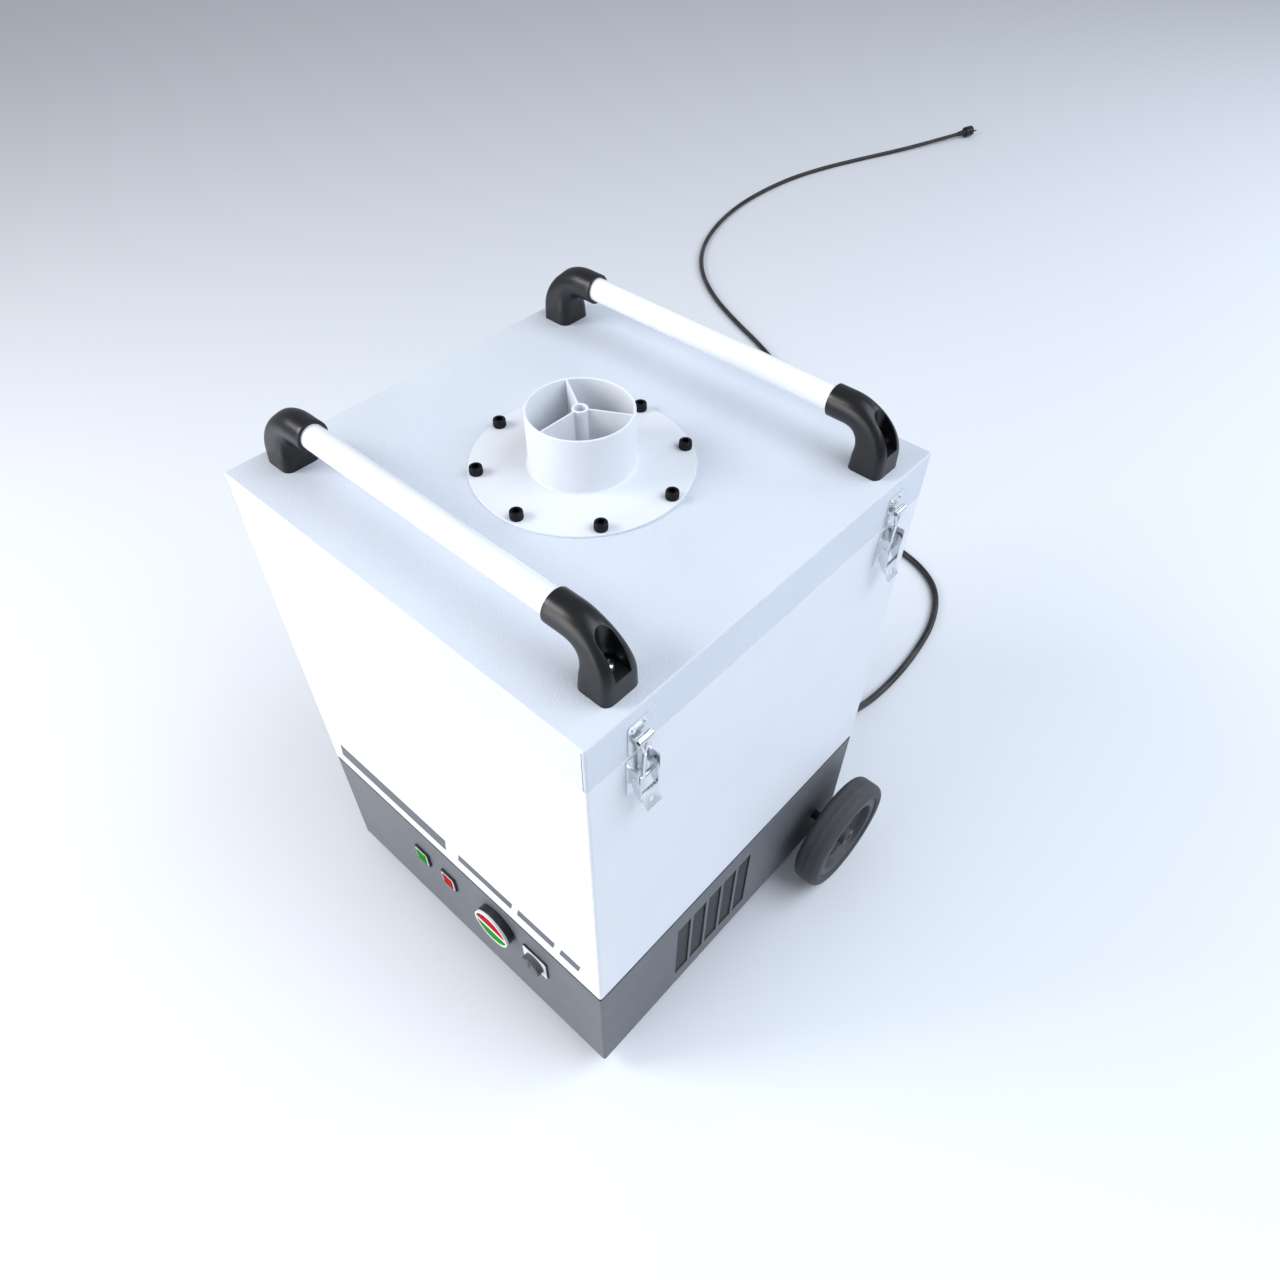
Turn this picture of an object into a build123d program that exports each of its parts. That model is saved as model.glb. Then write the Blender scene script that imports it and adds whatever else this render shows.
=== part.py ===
"""Mobile fume extractor cabinet: steel case on two wheels, filter and fan inside, latched lid with a duct spigot.

Millimetres. +Z up from the floor, the control panel looks towards -Y and +X is the side on the operator's right.
Shapes are drawn about the middle of the cabinet, and save() moves them so that the origin lies on the floor
under the middle of the whole machine, without its mains cable.
"""

import math
import os

from build123d import *

os.makedirs("parts", exist_ok=True)

# ---- cabinet ----
WIDTH = 580.0
DEPTH = 585.0
SHEET = 2.0
CORNER_R = 4.0
BASE_BOTTOM = 34.0
BASE_TOP = 255.0
DIVIDER_T = 3.0
SEAL_T = 3.0
BODY_BOTTOM = BASE_TOP + DIVIDER_T + SEAL_T
BODY_TOP = 752.0
LID_GAP = 1.0
LID_BOTTOM = BODY_TOP + LID_GAP
LID_TOP = 817.0
RIM_GAP = 0.5
RIM_T = 1.5
RIM_BOTTOM = 700.0
RIM_TOP = 806.0
GASKET_W = 6.0
GASKET_CLEAR = 0.6
SEAL_W = 18.0
SEAL_INSET = 0.5
FOLD_W = 20.0
PAN_T = 3.0
SEAM_SLIT = 0.8
SIDE_X = WIDTH / 2
FRONT_Y = -DEPTH / 2
REAR_Y = DEPTH / 2

# ---- duct connection on the lid ----
FLANGE_R = 132.5
FLANGE_T = 3.0
SPIGOT_R = 62.5
SPIGOT_WALL = 3.0
SPIGOT_TOP = LID_TOP + 74.0
SPIGOT_BORE_R = SPIGOT_R - SPIGOT_WALL
HUB_R = 9.5
HUB_BORE_R = 6.5
VANE_T = 2.0
VANE_BOTTOM = LID_TOP + 12.0
SCREW_PCD = 245.0
SCREW_COUNT = 8
SCREW_FIRST_DEG = 9.0
SCREW_HEAD_R = 8.0
SCREW_HEAD_H = 10.0
SCREW_SHANK_R = 5.0

# ---- lifting handles ----
HANDLE_Y = 222.0
HANDLE_Z = LID_TOP + 61.0
TUBE_R = 15.0
BRACKET_X = 254.0
BRACKET_W = 38.0
BRACKET_DEEP = 41.0
BRACKET_EDGE_R = 9.0
FOOT_PLAN = (44.0, 47.5)
FOOT_EDGE_R = 8.0
FOOT_MID_X = 251.0
FOOT_TAPER = 6.0
POCKET_X = 252.0
POCKET_R = 10.5
POCKET_FLOOR = LID_TOP + 27.0
FOOT_SCREW_R = 7.0
FOOT_SCREW_H = 4.5
ELBOW_R = 44.0
RING_X = 188.0
TUBE_END_X = 205.0
TUBE_FIT = 0.05

# ---- wheels and feet ----
WHEEL_R = 100.0
WHEEL_W = 45.0
WHEEL_X = 318.0
WHEEL_Y = 226.0
TYRE_INNER_R = 78.0
WEB_R = 62.0
BOSS_R = 22.0
AXLE_R = 8.0
AXLE_END = 350.0
RUN_FIT = 0.06
FOOT_R = 26.0
FOOT_X = 235.0
FOOT_Y = -235.0

# ---- side grilles ----
GRILLE_COUNT = 5
GRILLE_W = 29.0
GRILLE_PITCH = 35.0
GRILLE_MID_Y = -50.0
GRILLE_Z = (66.0, 214.0)
MESH_T = 1.0
SLOT_W = 1.6
SLOTS_PER_WINDOW = 8

# ---- control panel ----
LAMP_Z = 182.5
LAMP_X = {"green": -92.0, "red": -30.0}
LAMP_W = 31.0
LAMP_H = 35.0
LENS_W = 21.0
LENS_H = 25.0
SWITCH_X = 82.0
SWITCH_Z = 197.0
SWITCH_R = 34.4
SWITCH_DEEP = 12.0
BEZEL_FACE = 16.0
BUTTON_R = 30.6
BUTTON_GAP = 0.4
BUTTON_FACE = 15.4
BUTTON_BACK = 8.0
DIVIDER_HALF = 2.4
KNOB_X = 160.0
KNOB_Z = 184.0
KNOB_R = 18.0
KNOB_FLUTES = 24
KNOB_PLATE = 48.0

# ---- latches, two on each side ----
LATCH_Y = 222.0
PIVOT_U = 9.0
PIVOT_Z = 726.0
TRUNNION_U = 6.5
TRUNNION_Z = 711.0
BARREL_U = 8.5
BARREL_Z = 777.0
BARREL_R = 4.0
BARREL_HALF = 9.5
LATCH_PIN_R = 2.5
PIN_FIT = 0.05

# ---- filter and fan ----
FILTER_X = 540.0
FILTER_Y = 560.0
FILTER_Z = (400.0, 600.0)
FILTER_WALL = 12.0
PLEATS = 24
MAT_T = 20.0
FAN_Y = -20.0
INLET_R = 95.0
IMPELLER_R = 140.0
IMPELLER_Z = (172.0, 233.0)
MOTOR_R = 70.0
MOTOR_TOP = 143.0
SHAFT_R = 7.0
BLADES = 9

# ---- mains cable ----
CABLE_D = 14.0
CABLE_R = CABLE_D / 2
GLAND_X = 200.0
GLAND_Z = 90.0
GLAND_LEN = 24.0
RELIEF_LEN = 42.0
PLUG_R = 19.0
CABLE_START = (GLAND_X, REAR_Y + GLAND_LEN + RELIEF_LEN, GLAND_Z)
CABLE_ROUTE = [
    CABLE_START,
    (200, 415, 90),
    (200, 478, 60),
    (201, 560, 18),
    (203, 650, 7),
    (198, 745, 7),
    (180, 850, 7),
    (138, 938, 7),
    (72, 985, 7),
    (-14, 1004, 7),
    (-120, 1022, 7),
    (-240, 1078, 7),
    (-360, 1178, 7),
    (-478, 1292, 7),
    (-610, 1402, 7),
    (-770, 1492, 7),
    (-930, 1558, 7),
    (-1080, 1634, 7),
    (-1215, 1738, 7),
    (-1315, 1868, 7),
    (-1386, 2030, 7),
    (-1428, 2205, 7),
    (-1440, 2385, 7),
    (-1428, 2565, 7),
    (-1386, 2740, 7),
    (-1328, 2910, 7),
    (-1265, 3075, 9),
    (-1212, 3226, 14),
    (-1170, 3346, 19),
]

# The switch bezel leads and the tyres trail, so the cabinet stands this far from the middle of the machine.
Y_SHIFT = -((FRONT_Y - BEZEL_FACE) + (WHEEL_Y + WHEEL_R)) / 2


def save(name, *pieces):
    """Writes one node, moved into the machine's own frame. Identical pieces share a node."""
    moved = [Pos(0, Y_SHIFT, 0) * piece for piece in pieces]
    export_step(moved[0] if len(moved) == 1 else Compound(children=moved), f"parts/{name}.step")


def block(x, y, z):
    """A box from its three (low, high) pairs."""
    return Pos((x[0] + x[1]) / 2, (y[0] + y[1]) / 2, (z[0] + z[1]) / 2) * Box(
        x[1] - x[0], y[1] - y[0], z[1] - z[0]
    )


def tower(width, depth, z, radius=0.0):
    """An upright block about the middle, its four upright edges rounded."""
    shape = Pos(0, 0, (z[0] + z[1]) / 2) * Box(width, depth, z[1] - z[0])
    return fillet(shape.edges().filter_by(Axis.Z), radius) if radius > 0 else shape


def ring_wall(width, depth, z, wall, radius=0.0):
    """A four-sided wall, open above and below."""
    inner = tower(width - 2 * wall, depth - 2 * wall, z, max(radius - wall, 0.0))
    return tower(width, depth, z, radius) - inner


def upright(radius, z, at=(0.0, 0.0)):
    """A cylinder about +Z."""
    return Pos(at[0], at[1], (z[0] + z[1]) / 2) * Cylinder(radius, z[1] - z[0])


def across(radius, x, y, z):
    """A cylinder along X between two x values."""
    return Pos((x[0] + x[1]) / 2, y, z) * Rot(0, 90, 0) * Cylinder(radius, x[1] - x[0])


def along(radius, x, y, z):
    """A cylinder along Y between two y values."""
    return Pos(x, (y[0] + y[1]) / 2, z) * Rot(90, 0, 0) * Cylinder(radius, y[1] - y[0])


def proud(low, high):
    """The y values between two distances that stand out of the front panel."""
    return (FRONT_Y - high, FRONT_Y - low)


def mirrored(shape):
    """The same piece on the other side of the machine."""
    return mirror(shape, about=Plane.YZ)


def grille_windows():
    """The y limits of each window in a side grille."""
    first = GRILLE_MID_Y - GRILLE_PITCH * (GRILLE_COUNT - 1) / 2
    mids = [first + GRILLE_PITCH * i for i in range(GRILLE_COUNT)]
    return [(mid - GRILLE_W / 2, mid + GRILLE_W / 2) for mid in mids]


# ---------------- base ----------------
def base_pan():
    inside = 2 * SHEET
    return tower(WIDTH - inside, DEPTH - inside, (BASE_BOTTOM, BASE_BOTTOM + PAN_T), CORNER_R - SHEET)


def base_shell():
    shell = ring_wall(WIDTH, DEPTH, (BASE_BOTTOM, BASE_TOP), SHEET, CORNER_R)
    for window in grille_windows():
        shell -= block((-SIDE_X - 1, SIDE_X + 1), window, GRILLE_Z)
    for x in LAMP_X.values():
        shell -= Pos(x, FRONT_Y, LAMP_Z) * Box(LENS_W + 4, 12, LENS_H + 4)
    shell -= along(20, SWITCH_X, (FRONT_Y - 5, FRONT_Y + 5), SWITCH_Z)
    shell -= along(5, KNOB_X, (FRONT_Y - 5, FRONT_Y + 5), KNOB_Z)
    shell -= along(9, GLAND_X, (REAR_Y - 5, REAR_Y + 5), GLAND_Z)
    shell -= across(AXLE_R + 0.5, (-SIDE_X - 5, SIDE_X + 5), WHEEL_Y, WHEEL_R)
    return shell


def divider_plate():
    inset = 2 * SEAL_INSET
    plate = tower(WIDTH - inset, DEPTH - inset, (BASE_TOP, BASE_TOP + DIVIDER_T), CORNER_R)
    return plate - upright(INLET_R, (BASE_TOP - 5, BODY_BOTTOM), (0, FAN_Y))


def seal_strip():
    inset = 2 * SEAL_INSET
    return ring_wall(WIDTH - inset, DEPTH - inset, (BASE_TOP + DIVIDER_T, BODY_BOTTOM), SEAL_W, CORNER_R)


def side_mesh():
    """The slotted sheet behind the right-hand grille windows."""
    windows = grille_windows()
    margin = 6.0
    sheet = block(
        (SIDE_X - SHEET - MESH_T, SIDE_X - SHEET),
        (windows[0][0] - margin, windows[-1][1] + margin),
        (GRILLE_Z[0] - margin, GRILLE_Z[1] + margin),
    )
    pitch = GRILLE_W / SLOTS_PER_WINDOW
    for low, _high in windows:
        for i in range(SLOTS_PER_WINDOW):
            mid = low + pitch * (i + 0.5)
            slot = (mid - SLOT_W / 2, mid + SLOT_W / 2)
            sheet -= block((SIDE_X - 9, SIDE_X), slot, (GRILLE_Z[0] + 2, GRILLE_Z[1] - 2))
    return sheet


def front_feet():
    return [upright(FOOT_R, (0, BASE_BOTTOM), (side * FOOT_X, FOOT_Y)) for side in (-1, 1)]


def save_base():
    save("base_pan", base_pan())
    save("base_shell", base_shell())
    save("divider_plate", divider_plate())
    save("seal_strip", seal_strip())
    save("side_meshes", side_mesh(), mirrored(side_mesh()))
    feet = [chamfer(foot.edges().group_by(Axis.Z)[0], 2) for foot in front_feet()]
    save("front_feet", *feet)


# ---------------- body ----------------
def body_shell():
    shell = ring_wall(WIDTH, DEPTH, (BODY_BOTTOM, BODY_TOP), SHEET, CORNER_R)
    flange = ring_wall(
        WIDTH - 2 * SHEET, DEPTH - 2 * SHEET, (BODY_BOTTOM, BODY_BOTTOM + SHEET), FOLD_W, CORNER_R - SHEET
    )
    return shell + flange


def body_rim():
    inset = 2 * (SHEET + RIM_GAP)
    return ring_wall(WIDTH - inset, DEPTH - inset, (RIM_BOTTOM, RIM_TOP), RIM_T, CORNER_R - SHEET)


def lid_gasket():
    inset = 2 * (SHEET + RIM_GAP)
    top = LID_TOP - SHEET - GASKET_CLEAR
    return ring_wall(WIDTH - inset, DEPTH - inset, (RIM_TOP, top), GASKET_W, CORNER_R - SHEET)


def slanted_bar(x_low, x_high, z_low, z_high, slant):
    """A plain bar printed on the front panel, its right end leaning over."""
    thick = 0.4
    outline = [(x_low, z_low), (x_high, z_low), (x_high + slant, z_high), (x_low + slant, z_high)]
    face = make_face(Polyline(*outline, close=True))
    bar = extrude(Plane.XZ * face, thick)
    return Pos(0, FRONT_Y, 0) * bar


def front_stripe():
    bars = [slanted_bar(-262, -16, 287, 319, 5)]
    left = 12.0
    for length in (110.0, 70.0, 35.0):
        bars.append(slanted_bar(left, left + length, 293, 313, 5))
        left += length + 12
    return bars


def save_body():
    save("body_shell", body_shell())
    save("body_rim", body_rim())
    save("lid_gasket", lid_gasket())
    save("front_stripe", *front_stripe())


# ---------------- controls ----------------
def lamp_housing(x):
    frame = Pos(x, FRONT_Y - 2, LAMP_Z) * Box(LAMP_W, 4, LAMP_H)
    frame = fillet(frame.edges().filter_by(Axis.Y), 2)
    neck = Pos(x, FRONT_Y + 12, LAMP_Z) * Box(LENS_W + 3, 24, LENS_H + 3)
    return frame + neck - Pos(x, FRONT_Y - 2, LAMP_Z) * Box(LENS_W, 14, LENS_H)


def lamp_lens(x):
    lens = Pos(x, FRONT_Y - 0.6, LAMP_Z) * Box(LENS_W, 10, LENS_H)
    return fillet(lens.faces().sort_by(Axis.Y)[0].edges(), 1.2)


def switch_housing():
    drum = along(SWITCH_R, SWITCH_X, proud(0, SWITCH_DEEP), SWITCH_Z)
    drum = fillet(drum.edges().group_by(Axis.Y)[0], 1.5)
    return drum - along(BUTTON_R + BUTTON_GAP, SWITCH_X, proud(4, SWITCH_DEEP + 1), SWITCH_Z)


def switch_bezel():
    inner = BUTTON_R + BUTTON_GAP
    face = proud(SWITCH_DEEP, BEZEL_FACE)
    ring = along(SWITCH_R - 0.4, SWITCH_X, face, SWITCH_Z) - along(inner, SWITCH_X, face, SWITCH_Z)
    divider = block(
        (SWITCH_X - inner - 1, SWITCH_X + inner + 1),
        face,
        (SWITCH_Z - DIVIDER_HALF, SWITCH_Z + DIVIDER_HALF),
    )
    return ring + divider


def half_button(side):
    """One half-round button: side 1 is the upper, -1 the lower."""
    disc = along(BUTTON_R, SWITCH_X, proud(BUTTON_BACK, BUTTON_FACE), SWITCH_Z)
    edge = DIVIDER_HALF + BUTTON_GAP
    far = edge + 2 * BUTTON_R
    low, high = sorted((SWITCH_Z + side * edge, SWITCH_Z + side * far))
    half = disc & block((SWITCH_X - 99, SWITCH_X + 99), proud(0, 99), (low, high))
    return fillet(half.faces().sort_by(Axis.Y)[0].edges(), 1.2)


def knob_plate():
    plate = Pos(KNOB_X, FRONT_Y - 1.5, KNOB_Z) * Box(KNOB_PLATE, 3, KNOB_PLATE)
    plate = fillet(plate.edges().filter_by(Axis.Y), 4)
    return plate - along(5, KNOB_X, proud(-2, 4), KNOB_Z)


def speed_knob():
    cap = along(KNOB_R, KNOB_X, proud(3.4, 14), KNOB_Z)
    cap = fillet(cap.edges().group_by(Axis.Y)[0], 1.5)
    for i in range(KNOB_FLUTES):
        turn = Rot(0, 360 / KNOB_FLUTES * i, 0)
        flute = Pos(KNOB_X, FRONT_Y - 9, KNOB_Z) * turn * Pos(KNOB_R + 0.4, 0, 0)
        cap -= flute * Rot(90, 0, 0) * Cylinder(0.9, 20)
    pointer = Pos(KNOB_X, FRONT_Y - 14.4, KNOB_Z + KNOB_R / 2) * Box(2, 1.2, KNOB_R - 4)
    shaft = along(3, KNOB_X, proud(-12, 4), KNOB_Z)
    return cap + pointer + shaft


def control_box():
    shell = block((-120, 195), (FRONT_Y + 26, FRONT_Y + 90), (125, 245))
    return shell - block((-117, 192), (FRONT_Y + 20, FRONT_Y + 87), (128, 242))


def save_controls():
    save("lamp_housings", *[lamp_housing(x) for x in LAMP_X.values()])
    for colour, x in LAMP_X.items():
        save(f"{colour}_lamp_lens", lamp_lens(x))
    save("switch_housing", switch_housing())
    save("switch_bezel", switch_bezel())
    save("stop_button", half_button(1))
    save("start_button", half_button(-1))
    save("knob_plate", knob_plate())
    save("speed_knob", speed_knob())
    save("control_box", control_box())


# ---------------- lid ----------------
def lid_shell():
    lid = tower(WIDTH, DEPTH, (LID_BOTTOM, LID_TOP), CORNER_R)
    lid = fillet(lid.faces().sort_by(Axis.Z)[-1].edges(), 2.5)
    lid -= tower(WIDTH - 2 * SHEET, DEPTH - 2 * SHEET, (LID_BOTTOM - 1, LID_TOP - SHEET), CORNER_R - SHEET)
    lid -= upright(SPIGOT_BORE_R, (LID_TOP - 9, LID_TOP + 9))
    for x, y in flange_holes():
        lid -= upright(SCREW_SHANK_R + 0.3, (LID_TOP - 9, LID_TOP + 9), (x, y))
    for sx in (-1, 1):
        seam = sx * (SIDE_X - CORNER_R)
        slit = (seam - SEAM_SLIT / 2, seam + SEAM_SLIT / 2)
        lid -= block(slit, (-DEPTH, DEPTH), (LID_BOTTOM - 1, LID_TOP - 4))
    return lid


def flange_holes():
    """The (x, y) of each screw round the duct flange."""
    turns = [math.radians(SCREW_FIRST_DEG + 360 / SCREW_COUNT * i) for i in range(SCREW_COUNT)]
    return [(SCREW_PCD / 2 * math.cos(t), SCREW_PCD / 2 * math.sin(t)) for t in turns]


def duct_flange():
    """The disc that is screwed on the lid and carries the spigot."""
    flange = upright(FLANGE_R, (LID_TOP, LID_TOP + FLANGE_T))
    flange = chamfer(flange.edges().group_by(Axis.Z)[-1], 0.8)
    flange -= upright(SPIGOT_BORE_R, (LID_TOP - 1, LID_TOP + FLANGE_T + 1))
    for x, y in flange_holes():
        flange -= upright(SCREW_SHANK_R + 0.3, (LID_TOP - 1, LID_TOP + 9), (x, y))
    return flange


def duct_spigot():
    """The tube that takes the hose."""
    span = (LID_TOP + FLANGE_T, SPIGOT_TOP)
    return upright(SPIGOT_R, span) - upright(SPIGOT_BORE_R, span)


def spigot_spider():
    spider = upright(HUB_R, (VANE_BOTTOM, SPIGOT_TOP))
    for degrees in (30, 150, 270):
        vane = Pos(SPIGOT_BORE_R / 2, 0, (VANE_BOTTOM + SPIGOT_TOP) / 2) * Box(
            SPIGOT_BORE_R, VANE_T, SPIGOT_TOP - VANE_BOTTOM
        )
        spider += Rot(0, 0, degrees) * vane
    spider &= upright(SPIGOT_BORE_R, (VANE_BOTTOM, SPIGOT_TOP))
    return spider - upright(HUB_BORE_R, (VANE_BOTTOM - 1, SPIGOT_TOP + 1))


def flange_screw(x, y):
    seat = LID_TOP + FLANGE_T
    head = upright(SCREW_HEAD_R, (seat, seat + SCREW_HEAD_H), (x, y))
    head = fillet(head.edges().group_by(Axis.Z)[-1], 1)
    socket = Pos(x, y, seat + SCREW_HEAD_H - 5) * extrude(RegularPolygon(4.6, 6), 6)
    return head + upright(SCREW_SHANK_R, (seat - 14, seat), (x, y)) - socket


def save_lid():
    save("lid_shell", lid_shell())
    save("duct_flange", duct_flange())
    save("duct_spigot", duct_spigot())
    save("spigot_spider", spigot_spider())
    save("flange_screws", *[flange_screw(x, y) for x, y in flange_holes()])


# ---------------- handles ----------------
def bracket_section(deep):
    return RectangleRounded(BRACKET_W, deep, BRACKET_EDGE_R)


def handle_bracket():
    """The right-hand bracket of a handle at y 0: a foot, a quarter bend and a ring that holds the tube."""
    bend_z = HANDLE_Z - ELBOW_R
    bend_x = BRACKET_X - ELBOW_R
    foot_plan = Pos(FOOT_MID_X, 0, LID_TOP) * RectangleRounded(*FOOT_PLAN, FOOT_EDGE_R)
    foot = extrude(foot_plan, bend_z - LID_TOP, taper=FOOT_TAPER)
    section = Pos(BRACKET_X, 0, bend_z) * bracket_section(BRACKET_DEEP)
    elbow = revolve(section, Axis((bend_x, 0, bend_z), (0, -1, 0)), 90)
    mouth = Plane((bend_x, 0, HANDLE_Z), x_dir=(0, 1, 0), z_dir=(-1, 0, 0))
    sleeve = extrude(mouth * RectangleRounded(BRACKET_W, BRACKET_W, BRACKET_EDGE_R), bend_x - RING_X)
    shape = foot + elbow + sleeve
    shape -= across(TUBE_R + TUBE_FIT, (RING_X - 1, TUBE_END_X + 1), 0, HANDLE_Z)
    pocket_z = (POCKET_FLOOR, HANDLE_Z + ELBOW_R)
    pocket = upright(POCKET_R, pocket_z, (POCKET_X, 0))
    pocket += block((POCKET_X, SIDE_X), (-POCKET_R, POCKET_R), pocket_z)
    return shape - pocket


def bracket_screw():
    """The pan-head screw on the floor of a bracket's pocket."""
    head = upright(FOOT_SCREW_R, (POCKET_FLOOR, POCKET_FLOOR + FOOT_SCREW_H), (POCKET_X, 0))
    return fillet(head.edges().group_by(Axis.Z)[-1], 2)


def handle_tube(y):
    tube = across(TUBE_R, (-TUBE_END_X, TUBE_END_X), y, HANDLE_Z)
    return tube - across(TUBE_R - 2, (-TUBE_END_X - 1, TUBE_END_X + 1), y, HANDLE_Z)


def save_handles():
    screws = []
    for end, y in (("front", -HANDLE_Y), ("rear", HANDLE_Y)):
        save(f"handle_tube_{end}", handle_tube(y))
        save(f"handle_bracket_{end}_right", Pos(0, y, 0) * handle_bracket())
        save(f"handle_bracket_{end}_left", Pos(0, y, 0) * mirrored(handle_bracket()))
        screws += [Pos(0, y, 0) * bracket_screw(), Pos(0, y, 0) * mirrored(bracket_screw())]
    save("handle_screws", *screws)


# ---------------- latches ----------------
def out(u):
    """The x of a point that stands u out of the right-hand face."""
    return SIDE_X + u


def latch_base():
    """The plate on the cabinet with its two ears and their rivets, at y 0."""
    base = block((SIDE_X, out(1.5)), (-18, 18), (692, 748))
    for side in (-1, 1):
        low, high = sorted((side * 15.0, side * 16.5))
        base += block((out(1), out(15)), (low, high), (716, 740))
        pin_low, pin_high = sorted((side * 11.6, side * 17.5))
        base += along(LATCH_PIN_R, out(PIVOT_U), (pin_low, pin_high), PIVOT_Z)
    return base


def latch_lever():
    """The lever: two cheeks, the plate that joins them and the padlock eye."""
    lever = None
    for side in (-1, 1):
        low, high = sorted((side * 12.0, side * 13.5))
        outline = [(5, 729), (8, 732), (12, 732), (15, 728), (16, 706), (16, 691), (12, 691), (4, 706)]
        face = make_face(Polyline(*[(out(u), z) for u, z in outline], close=True))
        cheek = Pos(0, high, 0) * extrude(Plane.XZ * face, high - low)
        lever = cheek if lever is None else lever + cheek
    lever += block((out(14.5), out(16)), (-13.5, 13.5), (688, 698))
    eye = Pos(out(17.5), 0, 687) * Rot(0, -28, 0) * Box(1.5, 22, 22)
    eye -= Pos(out(18.5), 0, 685) * Rot(0, 62, 0) * Cylinder(3.5, 20)
    lever += eye
    for u, z in ((PIVOT_U, PIVOT_Z), (TRUNNION_U, TRUNNION_Z)):
        lever -= along(LATCH_PIN_R + PIN_FIT, out(u), (-20, 20), z)
    return lever


def latch_link():
    """The link: a cross pin in the lever, a rod, and two arms that carry the barrel."""
    fork_z = 752.0
    foot = Vector(out(TRUNNION_U), 0, TRUNNION_Z)
    fork = Vector(out(BARREL_U - 0.3), 0, fork_z)
    shapes = along(LATCH_PIN_R, out(TRUNNION_U), (-13.4, 13.4), TRUNNION_Z)
    shapes += rod(foot, fork, 2.5)
    for side in (-1, 1):
        shapes += rod(fork, Vector(out(BARREL_U), side * 7.5, BARREL_Z), 1.9)
    shapes += along(BARREL_R, out(BARREL_U), (-BARREL_HALF, BARREL_HALF), BARREL_Z)
    return shapes - along(2.4, out(BARREL_U), (-20, 20), BARREL_Z)


def rod(start, end, radius):
    """A round bar between two points."""
    line = end - start
    plane = Plane(start, z_dir=line)
    return extrude(plane * Circle(radius), line.length)


def latch_strike():
    """The keeper on the lid: a plate with the ledge that the barrel pulls down on."""
    plate = block((SIDE_X, out(1.5)), (-15, 15), (755, 797))
    plate = fillet(plate.edges().filter_by(Axis.X), 3)
    ledge_top = BARREL_Z - 3.6 - 0.5
    ledge = block((out(1), out(BARREL_U - 2.5)), (-5.5, 5.5), (ledge_top - 4, ledge_top))
    strike = plate + ledge
    for y in (-8.5, 8.5):
        strike += across(2.6, (out(1), out(2.6)), y, 789)
    return strike


def save_latches():
    bases = []
    strikes = []
    for end, y in (("front", -LATCH_Y), ("rear", LATCH_Y)):
        for side in ("right", "left"):
            turn = mirrored if side == "left" else (lambda shape: shape)
            place = Pos(0, y, 0)
            bases.append(place * turn(latch_base()))
            strikes.append(place * turn(latch_strike()))
            save(f"latch_lever_{end}_{side}", place * turn(latch_lever()))
            save(f"latch_link_{end}_{side}", place * turn(latch_link()))
    save("latch_bases", *bases)
    save("latch_strikes", *strikes)


# ---------------- wheels ----------------
def spun(outline):
    """Turns an outline of (radius, x) points round the axle of the right-hand wheel."""
    face = make_face(Polyline(*[(x, radius) for radius, x in outline], close=True))
    ring = revolve(Plane.XY * face, Axis.X, 360)
    return Pos(0, WHEEL_Y, WHEEL_R) * ring


def wheel_tyre():
    inner, outer = WHEEL_X, WHEEL_X + WHEEL_W
    outline = [
        (TYRE_INNER_R, inner + 2),
        (WHEEL_R - 10, inner),
        (WHEEL_R - 3, inner + 4),
        (WHEEL_R, inner + 12),
        (WHEEL_R, outer - 12),
        (WHEEL_R - 3, outer - 4),
        (WHEEL_R - 10, outer),
        (TYRE_INNER_R, outer - 2),
    ]
    return spun(outline)


def wheel_hub():
    inner, outer = WHEEL_X, WHEEL_X + WHEEL_W
    mid = (inner + outer) / 2
    web = 4.0
    bore = AXLE_R + RUN_FIT
    outline = [
        (bore, inner - 4),
        (BOSS_R, inner - 4),
        (BOSS_R, mid - web),
        (WEB_R, mid - web),
        (WEB_R + 2, inner + 4),
        (TYRE_INNER_R, inner + 4),
        (TYRE_INNER_R, outer - 4),
        (WEB_R + 2, outer - 4),
        (WEB_R, mid + web),
        (BOSS_R, mid + web),
        (BOSS_R - 3, outer - 3),
        (bore, outer - 3),
    ]
    hub = spun(outline)
    holes = 6
    for i in range(holes):
        angle = math.radians(360 / holes * i)
        y = WHEEL_Y + 44 * math.cos(angle)
        hub -= across(5, (inner, outer), y, WHEEL_R + 44 * math.sin(angle))
    return hub


def axle_bracket(side):
    block_x = sorted((side * 240.0, side * 270.0))
    shape = block(block_x, (WHEEL_Y - 18, WHEEL_Y + 18), (BASE_BOTTOM + 3, WHEEL_R + 16))
    return shape - across(AXLE_R + RUN_FIT, (-SIDE_X, SIDE_X), WHEEL_Y, WHEEL_R)


def save_wheels():
    save("wheel_tyre_right", wheel_tyre())
    save("wheel_tyre_left", mirrored(wheel_tyre()))
    save("wheel_hub_right", wheel_hub())
    save("wheel_hub_left", mirrored(wheel_hub()))
    save("axle", across(AXLE_R, (-AXLE_END, AXLE_END), WHEEL_Y, WHEEL_R))
    save("axle_brackets", axle_bracket(-1), axle_bracket(1))


# ---------------- filter ----------------
def filter_rail():
    """An angle on the right-hand wall that carries the filter."""
    shelf = FILTER_Z[0]
    rail = block((SIDE_X - SHEET - 32, SIDE_X - SHEET), (-270, 270), (shelf - 3, shelf))
    return rail + block((SIDE_X - SHEET - 3, SIDE_X - SHEET), (-270, 270), (shelf - 30, shelf))


def filter_frame():
    return ring_wall(FILTER_X, FILTER_Y, FILTER_Z, FILTER_WALL)


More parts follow.
